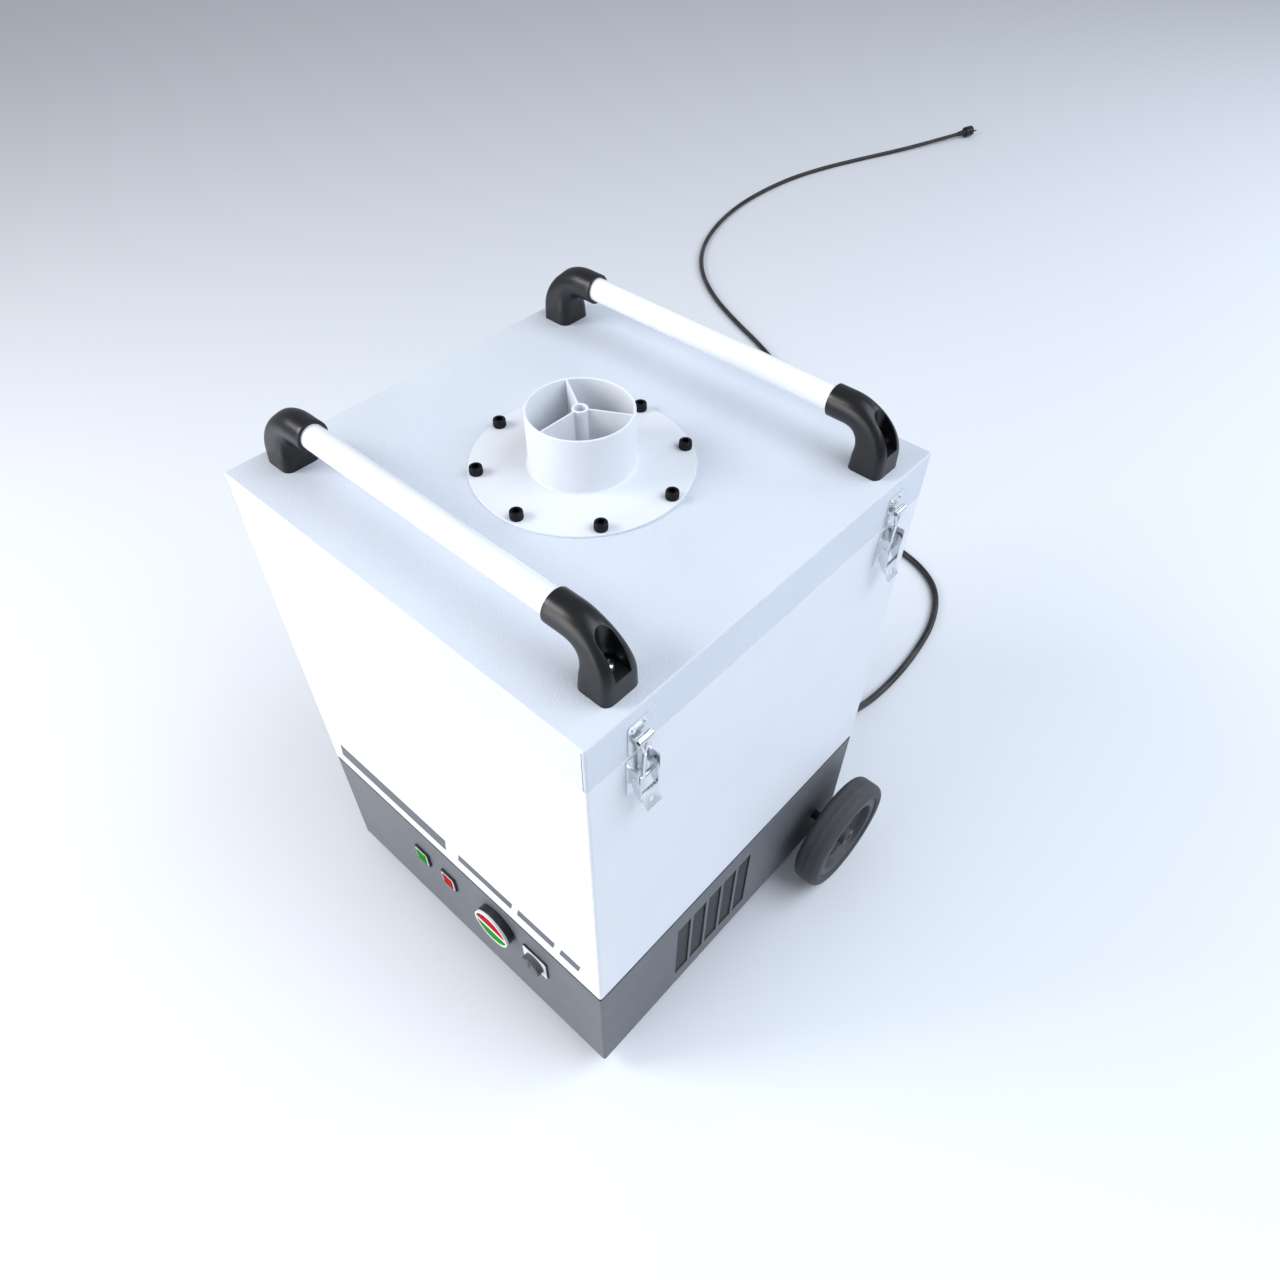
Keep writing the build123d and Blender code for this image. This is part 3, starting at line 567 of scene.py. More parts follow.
def arc(
    centre: tuple[float, float], radius: float, start: float, end: float, count: int = 6
) -> list[tuple[float, float]]:
    """Points along an arc, for an outline.

    Args:
        centre: The arc's centre.
        radius: Its radius.
        start: The first point's angle in degrees.
        end: The last point's angle in degrees.
        count: How many steps lie between them.

    Returns:
        count + 1 points.
    """
    angles = [math.radians(start + (end - start) * i / count) for i in range(count + 1)]
    return [(centre[0] + radius * math.cos(a), centre[1] + radius * math.sin(a)) for a in angles]


def add_rod(
    bm: bmesh.types.BMesh, start: Vector, end: Vector, radius: float, segments: int = 20, width: float = 0.0,
    end_radius: float | None = None,
) -> None:
    """Adds a round bar or cone between two points, its end edges eased.

    Args:
        bm: The mesh.
        start: The middle of one end.
        end: The middle of the other.
        radius: The radius at the start.
        segments: How many faces go round.
        width: The bevel's width at both ends, or 0.
        end_radius: The radius at the end, where it differs.
    """
    line = end - start
    turn = Vector((0, 0, 1)).rotation_difference(line).to_matrix().to_4x4()
    place = Matrix.Translation((start + end) / 2) @ turn
    made = bmesh.ops.create_cone(
        bm, cap_ends=True, segments=segments, radius1=radius,
        radius2=radius if end_radius is None else end_radius, depth=line.length, matrix=place,
    )
    if width > 0:
        caps = [f for f in {f for v in made["verts"] for f in v.link_faces} if len(f.verts) == segments]
        ease(bm, {e for f in caps for e in f.edges}, width)


def carved(target: bmesh.types.BMesh, cutter: bmesh.types.BMesh) -> bmesh.types.BMesh:
    """Takes one closed shape out of another.

    Args:
        target: The shape that is cut. It is used up.
        cutter: The shape that is taken out. It is used up.

    Returns:
        A new bmesh of what is left.
    """
    objects = []
    for label, bm in (("carve_target", target), ("carve_cutter", cutter)):
        bmesh.ops.recalc_face_normals(bm, faces=bm.faces[:])
        mesh = bpy.data.meshes.new(label)
        bm.to_mesh(mesh)
        bm.free()
        body = bpy.data.objects.new(label, mesh)
        bpy.context.scene.collection.objects.link(body)
        objects.append(body)
    cut = objects[0].modifiers.new("cut", "BOOLEAN")
    cut.operation = "DIFFERENCE"
    cut.solver = "EXACT"
    cut.object = objects[1]
    bpy.context.view_layer.update()
    left = objects[0].evaluated_get(bpy.context.evaluated_depsgraph_get())
    result = bmesh.new()
    result.from_mesh(left.to_mesh())
    left.to_mesh_clear()
    for body in objects:
        mesh = body.data
        bpy.data.objects.remove(body)
        bpy.data.meshes.remove(mesh)
    if WORN not in result.faces.layers.float:
        result.faces.layers.float.new(WORN)
    return result


def from_node(node: str, width: float, segments: int = 2, degrees: float = 32.0) -> bmesh.types.BMesh:
    """A merged copy of a CAD node with its sharp edges eased.

    Args:
        node: The node's name.
        width: The bevel's width in metres.
        segments: How many faces go round each bevel.
        degrees: Edges sharper than this are eased.

    Returns:
        The copy.
    """
    bm = blank()
    bm.from_mesh(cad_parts[node].data)
    if WORN not in bm.faces.layers.float:
        bm.faces.layers.float.new(WORN)
    bmesh.ops.remove_doubles(bm, verts=bm.verts[:], dist=2e-6)
    bmesh.ops.dissolve_limit(
        bm, angle_limit=math.radians(0.3), verts=bm.verts[:], edges=bm.edges[:], use_dissolve_boundaries=False
    )
    ease(bm, sharp_edges(bm, degrees), width, segments)
    return bm


@dataclass
class Workshop:
    """Turns shapes into pieces that wear a finish and ride on a body."""

    effects: Effects = field(default_factory=Effects)

    def piece(
        self,
        name: str,
        bm: bmesh.types.BMesh,
        finish: Finish,
        body: str,
        stands_for: Sequence[str] = (),
        smooth: float = 40.0,
        weighted: bool = True,
        outward: bool = True,
    ) -> bpy.types.Object:
        """Makes a finished piece.

        Args:
            name: The piece's name.
            bm: Its shape. It is used up.
            finish: What it wears.
            body: The CAD body that it rides on.
            stands_for: The CAD nodes that it replaces.
            smooth: Faces that meet at less than this, in degrees, shade as one surface.
            weighted: Whether large faces keep their flat shading next to bevels.
            outward: Whether the normals are worked out again.

        Returns:
            The new object.
        """
        if outward:
            bmesh.ops.recalc_face_normals(bm, faces=bm.faces[:])
        mesh = bpy.data.meshes.new(name)
        bm.to_mesh(mesh)
        bm.free()
        mesh.polygons.foreach_set("use_smooth", [True] * len(mesh.polygons))
        mesh.set_sharp_from_angle(angle=math.radians(smooth))
        mesh.materials.append(finish.material(self.effects))
        made = bpy.data.objects.new(name, mesh)
        bpy.context.scene.collection.objects.link(made)
        if weighted:
            flat = made.modifiers.new("flat_faces", "WEIGHTED_NORMAL")
            flat.keep_sharp = True
        self.settle(made, finish, body, stands_for)
        return made

    def settle(self, made: bpy.types.Object, finish: Finish, body: str, stands_for: Sequence[str]) -> None:
        """Parents a piece to its body and hides the CAD nodes that it replaces.

        Args:
            made: The piece.
            finish: What it wears; not used.
            body: The CAD body that it rides on.
            stands_for: The CAD nodes that it replaces.
        """
        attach(made, body)
        if stands_for:
            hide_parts(*stands_for)
        LOG.info("%s rides on %s", made.name, body)

    def refine(
        self, node: str, finish: Finish, body: str, width: float, segments: int = 2
    ) -> bpy.types.Object:
        """Replaces a CAD node by a copy with eased edges.

        Args:
            node: The node's name.
            finish: What it wears.
            body: The CAD body that it rides on.
            width: The bevel's width in metres.
            segments: How many faces go round each bevel.

        Returns:
            The new piece.
        """
        return self.piece(f"{node}_skin", from_node(node, width, segments), finish, body, [node], smooth=35.0)

    def dress(self, node: str, finish: Finish) -> None:
        """Gives a CAD node that stays as it is its finish."""
        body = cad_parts[node]
        body.data.materials.clear()
        body.data.materials.append(finish.material(self.effects))
        LOG.info("%s wears %s", node, finish.name)


def middle(node: str) -> Vector:
    """The middle of a CAD node's box."""
    low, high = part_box(node)
    return (low + high) / 2


# The middle of the cabinet, from which the CAD's sizes are measured.
CABINET_Y = middle("body_shell").y


# ---------------------------------------------------------------- studio


@dataclass
class Studio:
    """The camera, the light and the floor."""

    eye: tuple[float, float, float] = (0.6426, -0.6124, 1.4884)
    yaw: float = 131.982
    pitch: float = -47.874
    roll: float = 0.391
    lens: float = 26.44

    def camera(self) -> None:
        """Places the camera above the front right-hand corner."""
        data = bpy.data.cameras.new("camera")
        data.lens = self.lens
        data.sensor_width = 36.0
        data.clip_end = 60.0
        camera = bpy.data.objects.new("camera", data)
        bpy.context.scene.collection.objects.link(camera)
        yaw, pitch = math.radians(self.yaw), math.radians(self.pitch)
        ahead = Vector((math.cos(pitch) * math.cos(yaw), math.cos(pitch) * math.sin(yaw), math.sin(pitch)))
        upright = ahead.to_track_quat("-Z", "Y").to_matrix()
        turned = upright @ Matrix.Rotation(math.radians(self.roll), 3, "Z")
        place = Vector(self.eye) + Vector((0, CABINET_Y, 0))
        camera.matrix_world = Matrix.Translation(place) @ turned.to_4x4()
        bpy.context.scene.camera = camera

    def area(
        self, name: str, place: Sequence[float], aim: Sequence[float], size: float, power: float,
        colour: Colour,
    ) -> None:
        """Adds a square soft light.

        Args:
            name: The light's name.
            place: Where it hangs.
            aim: The point that it faces.
            size: Its side.
            power: Its power in watts.
            colour: Its colour.
        """
        data = bpy.data.lights.new(name, "AREA")
        data.size = size
        data.energy = power
        data.color = colour
        light = bpy.data.objects.new(name, data)
        bpy.context.scene.collection.objects.link(light)
        line = Vector(aim) - Vector(place)
        light.matrix_world = Matrix.Translation(place) @ line.to_track_quat("-Z", "Y").to_matrix().to_4x4()

    def lights(self) -> None:
        """A key light from the front left, a low front light, two overhead panels and a pale room."""
        self.area("key", (-2.2, -2.4, 2.9), (0.0, 0.0, 0.35), 1.5, 78.0, (1.0, 0.99, 0.97))
        self.area("front", (-1.0, -3.1, 1.1), (-0.1, -0.3, 0.2), 2.0, 62.0, (1.0, 1.0, 1.0))
        self.area("sky_panel", (2.3, 0.9, 3.6), (0.9, 0.3, 0.0), 3.0, 106.0, (0.86, 0.93, 1.0))
        self.area("back_wash", (2.2, 4.4, 2.8), (1.6, 4.0, 0.0), 2.5, 82.0, (0.86, 0.93, 1.0))
        world = bpy.data.worlds.new("pale_room")
        world.use_nodes = True
        sky = world.node_tree.nodes["Background"]
        sky.inputs["Color"].default_value = (0.88, 0.92, 1.0, 1.0)
        sky.inputs["Strength"].default_value = 0.42
        bpy.context.scene.world = world
        bpy.context.scene.view_settings.view_transform = "Standard"

    def floor(self) -> None:
        """A plain pale floor."""
        bm = bmesh.new()
        bmesh.ops.create_grid(bm, x_segments=1, y_segments=1, size=30.0)
        mesh = bpy.data.meshes.new("floor")
        bm.to_mesh(mesh)
        bm.free()
        pale = bpy.data.materials.new("pale_floor")
        pale.use_nodes = True
        shader = pale.node_tree.nodes["Principled BSDF"]
        shader.inputs["Base Color"].default_value = (0.78, 0.81, 0.86, 1.0)
        shader.inputs["Roughness"].default_value = 0.7
        mesh.materials.append(pale)
        floor = bpy.data.objects.new("floor", mesh)
        floor.location.z = -0.0005
        bpy.context.scene.collection.objects.link(floor)

    def build(self) -> None:
        """Builds the whole studio."""
        self.camera()
        self.lights()
        self.floor()


# ---------------------------------------------------------------- mains cable


@dataclass
class MainsCable:
    """The black rubber cable, its gland and strain relief on the rear panel, and its plug."""

    shop: Workshop
    diameter: float = 0.014
    length: float = 3.9
    relief_length: float = 0.042
    plug_radius: float = 0.019
    plug_neck: float = 0.030
    plug_grip: float = 0.036
    pin_length: float = 0.019
    route: tuple[tuple[float, float, float], ...] = (
        (0.200, 0.3585, 0.090),
        (0.200, 0.415, 0.090),
        (0.200, 0.478, 0.060),
        (0.201, 0.560, 0.018),
        (0.203, 0.650, 0.007),
        (0.198, 0.745, 0.007),
        (0.180, 0.850, 0.007),
        (0.138, 0.938, 0.007),
        (0.072, 0.985, 0.007),
        (-0.014, 1.004, 0.007),
        (-0.120, 1.022, 0.007),
        (-0.240, 1.078, 0.007),
        (-0.360, 1.178, 0.007),
        (-0.478, 1.292, 0.007),
        (-0.610, 1.402, 0.007),
        (-0.770, 1.492, 0.007),
        (-0.930, 1.558, 0.007),
        (-1.080, 1.634, 0.007),
        (-1.215, 1.738, 0.007),
        (-1.315, 1.868, 0.007),
        (-1.386, 2.030, 0.007),
        (-1.428, 2.205, 0.007),
        (-1.440, 2.385, 0.007),
        (-1.428, 2.565, 0.007),
        (-1.386, 2.740, 0.007),
        (-1.328, 2.910, 0.007),
        (-1.265, 3.075, 0.009),
        (-1.212, 3.226, 0.014),
        (-1.170, 3.346, 0.019),
    )

    def points(self) -> list[Vector]:
        """The route in the machine's own frame."""
        return [Vector((x, y + CABINET_Y, z)) for x, y, z in self.route]

    def cord(self) -> bpy.types.Object:
        """The cable itself, as one smooth spline."""
        data = bpy.data.curves.new("mains_cord", "CURVE")
        data.dimensions = "3D"
        data.resolution_u = 10
        data.bevel_depth = self.diameter / 2
        data.bevel_resolution = 5
        data.use_fill_caps = True
        points = self.points()
        spline = data.splines.new("NURBS")
        spline.points.add(len(points) - 1)
        for point, place in zip(spline.points, points, strict=True):
            point.co = (*place, 1.0)
        spline.order_u = 3
        spline.use_endpoint_u = True
        data.materials.append(CABLE_SHEATH.material(self.shop.effects))
        cord = bpy.data.objects.new("mains_cord", data)
        bpy.context.scene.collection.objects.link(cord)
        self.shop.settle(cord, CABLE_SHEATH, "cabinet", ["mains_cable"])
        return cord

    def gland(self) -> bpy.types.Object:
        """The hexagonal gland, with a domed and fluted cap nut."""
        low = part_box("cable_gland")[0]
        start = self.points()[0]
        panel = start.y - self.relief_length - 0.024
        bm = blank()
        hexagon = Vector((start.x, panel, start.z))
        add_rod(bm, hexagon, hexagon + Vector((0, 0.011, 0)), 0.016, 6, 0.0008)
        ring = [(0.0, 0.010), (0.0125, 0.010), *arc((0.0105, 0.020), 0.0025, 0, 80, 4)]
        ring += [(0.009, 0.0238), (0.0, 0.0238)]
        add_lathe(bm, ring, hexagon, Vector((0, 1, 0)), 48)
        flutes = 12
        for i in range(flutes):
            turn = FULL_TURN * i / flutes
            out = Vector((math.cos(turn), 0, math.sin(turn))) * 0.0124
            foot = hexagon + out
            add_rod(bm, foot + Vector((0, 0.0115, 0)), foot + Vector((0, 0.019, 0)), 0.0010, 8)
        add_rod(bm, Vector((start.x, low.y, start.z)), hexagon, 0.0084, 32)
        return self.shop.piece("cable_gland_nut", bm, BLACK_NYLON, "cabinet", ["cable_gland"])

    def relief(self) -> bpy.types.Object:
        """The tapered rubber sleeve, ringed so that it bends."""
        start = self.points()[0] - Vector((0, self.relief_length, 0))
        outline = [(0.0072, 0.0), (0.0104, 0.0), (0.0104, 0.003)]
        rings = 7
        pitch = (self.relief_length - 0.006) / rings
        for i in range(rings):
            along = 0.004 + pitch * i
            radius = 0.0104 - 0.0022 * (i + 0.5) / rings
            outline += [(radius - 0.0013, along), (radius - 0.0013, along + pitch * 0.25)]
            outline += [(radius, along + pitch * 0.4), (radius, along + pitch * 0.85)]
        outline += [(0.0080, self.relief_length - 0.001), (0.0072, self.relief_length)]
        bm = blank()
        add_lathe(bm, closed(outline), start, Vector((0, 1, 0)), 40)
        return self.shop.piece("cable_relief", bm, RUBBER, "cabinet", ["strain_relief"], weighted=False)

    def plug(self) -> bpy.types.Object:
        """A plain round two-pin plug on the cable's end."""
        points = self.points()
        end = points[-1]
        axis = (end - points[-2]).normalized()
        neck, grip, radius = self.plug_neck, self.plug_grip, self.plug_radius
        outline = [(0.0, -0.004), (0.0086, -0.004)]
        rings = 6
        for i in range(rings):
            along = 0.001 + neck * 0.8 * i / rings
            bulge = 0.0090 + 0.0018 * i / rings
            outline += [(bulge, along), (bulge, along + 0.0022), (bulge - 0.0010, along + 0.0028)]
        outline += [(0.0112, neck - 0.002), *arc((radius - 0.0065, neck + 0.0055), 0.0065, 250, 360, 6)]
        outline += [(radius - 0.0004, neck + grip - 0.004)]
        outline += arc((radius - 0.0030, neck + grip - 0.003), 0.0026, 0, 90, 4)
        outline += [(0.0, neck + grip - 0.0004)]
        bm = blank()
        add_lathe(bm, outline, end, axis, 56)
        across = axis.cross(Vector((0, 0, 1))).normalized()
        for side in (-1, 1):
            foot = end + axis * (neck + grip - 0.002) + across * side * 0.0095
            add_rod(bm, foot, foot + axis * (self.pin_length + 0.001), 0.0024, 20, 0.0008)
        return self.shop.piece("mains_plug_body", bm, BLACK_NYLON, "cabinet", ["mains_plug"])

    def build(self) -> None:
        cord = self.cord()
        with_it = [self.gland(), self.relief(), self.plug()]


# ---------------------------------------------------------------- cabinet


@dataclass
class Cabinet:
    """The grey base and the white body, with the grilles, the stripe and the feet."""

    shop: Workshop
    sheet: float = 0.002
    windows: int = 5
    window_width: float = 0.029
    window_pitch: float = 0.035
    grille_y: float = -0.050
    grille_low: float = 0.066
    grille_high: float = 0.214
    mesh_pitch: float = 0.0032
    wire: float = 0.0011
    mesh_thick: float = 0.0006

    def shells(self) -> None:
        """The base, the body and the seam between them, whose black strip is painted shadow of the gap."""
        self.shop.refine("base_shell", GREY_COAT, "cabinet", 0.0006, 2)
        self.shop.refine("body_shell", WHITE_COAT, "cabinet", 0.0006, 2)
        self.shop.refine("front_stripe", STRIPE_PRINT, "cabinet", 0.0001, 1)
        self.shop.dress("base_pan", GREY_COAT)
        self.shop.dress("divider_plate", RUBBER)
        # The black strip between base and body is painted shade: it stands for the shadow in the gap there.
        self.shop.dress("seal_strip", RUBBER)
        self.shop.dress("body_rim", SHEET_STEEL)
        self.shop.dress("lid_gasket", RUBBER)

    def mesh_window(self, bm: bmesh.types.BMesh, spot: Vector) -> None:
        """Adds the woven mesh of one window, a solid grid of wires.

        Args:
            bm: The mesh to add to.
            spot: The middle of the window.
        """
        rows = round((self.grille_high - self.grille_low + 0.004) / self.mesh_pitch)
        columns = round((self.window_width + 0.003) / self.mesh_pitch)
        sheet = blank()
        bmesh.ops.create_grid(sheet, x_segments=columns, y_segments=rows, size=0.5)
        extent = (columns * self.mesh_pitch, rows * self.mesh_pitch, 1)
        bmesh.ops.scale(sheet, vec=extent, verts=sheet.verts[:])
        inner = bmesh.ops.inset_individual(sheet, faces=sheet.faces[:], thickness=self.wire / 2)
        holes = [f for f in sheet.faces if f not in set(inner["faces"])]
        bmesh.ops.delete(sheet, geom=holes, context="FACES_ONLY")
        bmesh.ops.solidify(sheet, geom=sheet.faces[:], thickness=self.mesh_thick)
        upright = Matrix.Rotation(math.radians(90), 4, "Z") @ Matrix.Rotation(math.radians(90), 4, "X")
        bmesh.ops.transform(sheet, matrix=Matrix.Translation(spot) @ upright, verts=sheet.verts[:])
        loose = bpy.data.meshes.new("mesh_window")
        sheet.to_mesh(loose)
        sheet.free()
        bm.from_mesh(loose)
        bpy.data.meshes.remove(loose)

    def grilles(self) -> None:
        """The fine mesh behind the windows of both sides."""
        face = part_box("base_shell")[1].x - self.sheet
        first = self.grille_y + CABINET_Y - self.window_pitch * (self.windows - 1) / 2
        middle = (self.grille_low + self.grille_high) / 2
        bm = blank()
        for side in Side:
            for i in range(self.windows):
                x = side.value * (face - self.mesh_thick)
                self.mesh_window(bm, Vector((x, first + i * self.window_pitch, middle)))
        self.shop.piece("grille_meshes", bm, MESH_PAINT, "cabinet", ["side_meshes"], weighted=False)

    def feet(self) -> None:
        """The two rubber feet, with a turned rim."""
        low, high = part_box("front_feet")
        radius = (high.y - low.y) / 2
        bm = blank()
        for x in (low.x + radius, high.x - radius):
            foot = Vector((x, (low.y + high.y) / 2, 0.0))
            outline = [(0, 0), (radius - 0.004, 0), *arc((radius - 0.003, 0.003), 0.003, 270, 360, 4)]
            outline += [(radius - 0.0005, 0.012), (radius - 0.004, 0.016)]
            outline += [(radius - 0.004, high.z), (0, high.z)]
            add_lathe(bm, outline, foot, Vector((0, 0, 1)), 48)
        self.shop.piece("rubber_feet", bm, RUBBER, "cabinet", ["front_feet"])

    def build(self) -> None:
        """Builds every outer piece of the cabinet."""
        self.shells()
        self.grilles()
        self.feet()


# ---------------------------------------------------------------- control panel


@dataclass
class ControlPanel:
    """The two lamps, the start and stop switch and the speed knob."""

    shop: Workshop
    lens_ribs: int = 7
    face_thick: float = 0.0003

    def face_plate(
        self, name: str, low: Vector, high: Vector, front: float, border: float, corner: float
    ) -> bpy.types.Object:
        """A thin white plate on a control's face, with a window if it has a border.

        Args:
            name: The piece's name.
            low: The plate's lowest corner.
            high: Its highest corner.
            front: The y that it lies on.
            border: How wide it is round its window, or 0 for no window.
            corner: The radius of its corners.

        Returns:
            The new piece.
        """
        bm = blank()
        centre = (low + high) / 2
        size = high - low
        place = Matrix.Translation((centre.x, front, centre.z)) @ Matrix.Rotation(math.radians(90), 4, "X")
        stretch = Matrix.Diagonal((size.x, size.z, 1, 1))
        bmesh.ops.create_grid(bm, x_segments=1, y_segments=1, size=0.5, matrix=place @ stretch)
        bmesh.ops.bevel(
            bm, geom=bm.verts[:], offset=corner, offset_type="OFFSET", segments=5, profile=0.5,
            affect="VERTICES", clamp_overlap=True, material=-1,
        )
        if border > 0:
            window = bm.faces[:]
            bmesh.ops.inset_region(
                bm, faces=window, thickness=border, use_even_offset=True, use_boundary=True
            )
            bmesh.ops.delete(bm, geom=window, context="FACES")
        made = bmesh.ops.extrude_face_region(bm, geom=bm.faces[:])
        moved = [g for g in made["geom"] if isinstance(g, bmesh.types.BMVert)]
        bmesh.ops.translate(bm, vec=(0, -self.face_thick, 0), verts=moved)
        return self.shop.piece(name, bm, WHITE_PLASTIC, "cabinet")

    def lamps(self) -> None:
        """Black housings with white face frames round coloured lenses."""
        # The black housing sides are painted shade: they stand in for the shadow gap round each white frame.
        self.shop.refine("lamp_housings", PANEL_BLACK, "cabinet", 0.0004, 2)
        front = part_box("lamp_housings")[0].y
        for node, finish in (("green_lamp_lens", START_GREEN), ("red_lamp_lens", STOP_RED)):
            bm = from_node(node, 0.0003, 2)
            low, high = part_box(node)
            step = (high.x - low.x) / self.lens_ribs
            for i in range(self.lens_ribs):
                x = low.x + step * (i + 0.5)
                foot = Vector((x, low.y + 0.0003, low.z + 0.002))
                add_rod(bm, foot, Vector((x, low.y + 0.0003, high.z - 0.002)), step * 0.16, 10)
            self.shop.piece(f"{node}_ribbed", bm, finish, "cabinet", [node])
            edge = Vector((0.0026, 0, 0.0026))
            self.face_plate(f"{node}_frame", low - edge, high + edge, front, 0.0025, 0.0015)

    def switch(self) -> None:
        """The round switch and its two half buttons."""
        self.shop.refine("switch_housing", PANEL_BLACK, "cabinet", 0.0005, 2)
        self.shop.refine("switch_bezel", WHITE_PLASTIC, "cabinet", 0.0003, 2)
        self.shop.refine("stop_button", STOP_RED, "stop_button", 0.0004, 2)
        self.shop.refine("start_button", START_GREEN, "start_button", 0.0004, 2)

    def knob(self) -> None:
        """The fluted knob on its square plate."""
        # The plate is black and its white face stops short of its edges: that black rim is painted shadow
        # along the plate's edges.
        self.shop.refine("knob_plate", PANEL_BLACK, "cabinet", 0.0004, 2)
        low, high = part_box("knob_plate")
        edge = Vector((0.0008, 0, 0.0008))
        self.face_plate("knob_plate_face", low + edge, high - edge, low.y, 0.0, 0.0035)
        self.shop.refine("speed_knob", KNOB_GREY, "speed_knob", 0.0003, 2)

    def build(self) -> None:
        """Builds every control."""
        self.lamps()
        self.switch()
        self.knob()


@dataclass
class Lid:
    """The lid with the duct spigot, its spider and the flange screws."""

    shop: Workshop
    flange_radius: float = 0.1325
    flange_thick: float = 0.003
    spigot_radius: float = 0.0625
    wall: float = 0.003
    weld: float = 0.004
    screw_circle: float = 0.1225
    screws: int = 8
    first_screw: float = 9.0
    head_radius: float = 0.008
    head_height: float = 0.010
    seam_inset: float = 0.004
    seam_half: float = 0.00035

    def centre(self) -> Vector:
        """The middle of the lid's top face."""
        return Vector((0.0, CABINET_Y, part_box("lid_shell")[1].z))

    def spigot(self) -> None:
        """The flange and spigot, with a weld at the foot and a rounded rim."""
        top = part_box("duct_spigot")[1].z - self.centre().z
        outer, inner = self.spigot_radius, self.spigot_radius - self.wall
        thick = self.flange_thick
        rim = self.wall / 2
        outline = [(inner, 0.0), (self.flange_radius - 0.0003, 0.0), (self.flange_radius, 0.0004)]
        outline += arc((self.flange_radius - 0.0009, thick - 0.0009), 0.0009, 0, 90, 4)
        outline += arc((outer + self.weld, thick + self.weld), self.weld, 270, 180, 6)
        outline += arc((outer - rim, top - rim), rim, 0, 180, 8)
        bm = blank()
        add_lathe(bm, closed(outline), self.centre(), Vector((0, 0, 1)), 128)
        nodes = ["duct_flange", "duct_spigot"]
        self.shop.piece("spigot_and_flange", bm, WHITE_COAT, "lid", nodes, weighted=False)
        self.shop.refine("spigot_spider", WHITE_COAT, "lid", 0.0004, 2)

    def screw_heads(self) -> None:
        """The socket-head screws, knurled, with their hexagon sockets."""
        seat = self.centre() + Vector((0, 0, self.flange_thick))
        up = Vector((0, 0, 1))
        bm = blank()
        knurls = 32
        for i in range(self.screws):
            turn = math.radians(self.first_screw + 360 / self.screws * i)
            spot = seat + self.screw_circle * Vector((math.cos(turn), math.sin(turn), 0))
            head = blank()
            r, h = self.head_radius - 0.0003, self.head_height
            outline = [(0, -0.014), (0.005, -0.014), (0.005, 0)]
            outline += [(r - 0.0004, 0), (r, 0.0004), (r, h - 0.0016)]
            outline += [*arc((r - 0.0012, h - 0.0012), 0.0012, 0, 90, 4), (0, h)]
            add_lathe(head, outline, spot, up, 48)
            tool = blank()
            add_rod(tool, spot + up * (h - 0.0055), spot + up * (h + 0.002), 0.0046, 6)
            head = carved(head, tool)
            for k in range(knurls):
                a = FULL_TURN * k / knurls
                side = Vector((math.cos(a), math.sin(a), 0)) * r
                add_rod(head, spot + side + up * 0.0012, spot + side + up * (h - 0.0024), 0.0003, 4)
            ready = bpy.data.meshes.new("screw")
            head.to_mesh(ready)
            head.free()
            bm.from_mesh(ready)
            bpy.data.meshes.remove(ready)
        self.shop.piece("socket_screws", bm, BLACK_OXIDE, "lid", ["flange_screws"], weighted=False)

    def corner_seams(self) -> None:
        """The dark joints where the lid's side sheets meet its front and its rear."""
        low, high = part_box("lid_shell")
        bm = blank()
        for sign in (-1, 1):
            seam = sign * (high.x - self.seam_inset)
            for face, inward in ((low.y, 1), (high.y, -1)):
                depth = sorted((face + inward * 0.0003, face + inward * 0.0018))
                add_block(
                    bm, (seam - self.seam_half, depth[0], low.z + 0.0002),
                    (seam + self.seam_half, depth[1], high.z - 0.0042),
                )
        self.shop.piece("lid_corner_seams", bm, RUBBER, "lid", weighted=False)

    def build(self) -> None:
        """Builds the lid and what is bolted on it."""
        # The lid's top wears the darker copy of the white coat, which is painted shade.
        self.shop.refine("lid_shell", SHADED_LID_COAT, "lid", 0.0006, 2)
        self.corner_seams()
        self.spigot()
        self.screw_heads()


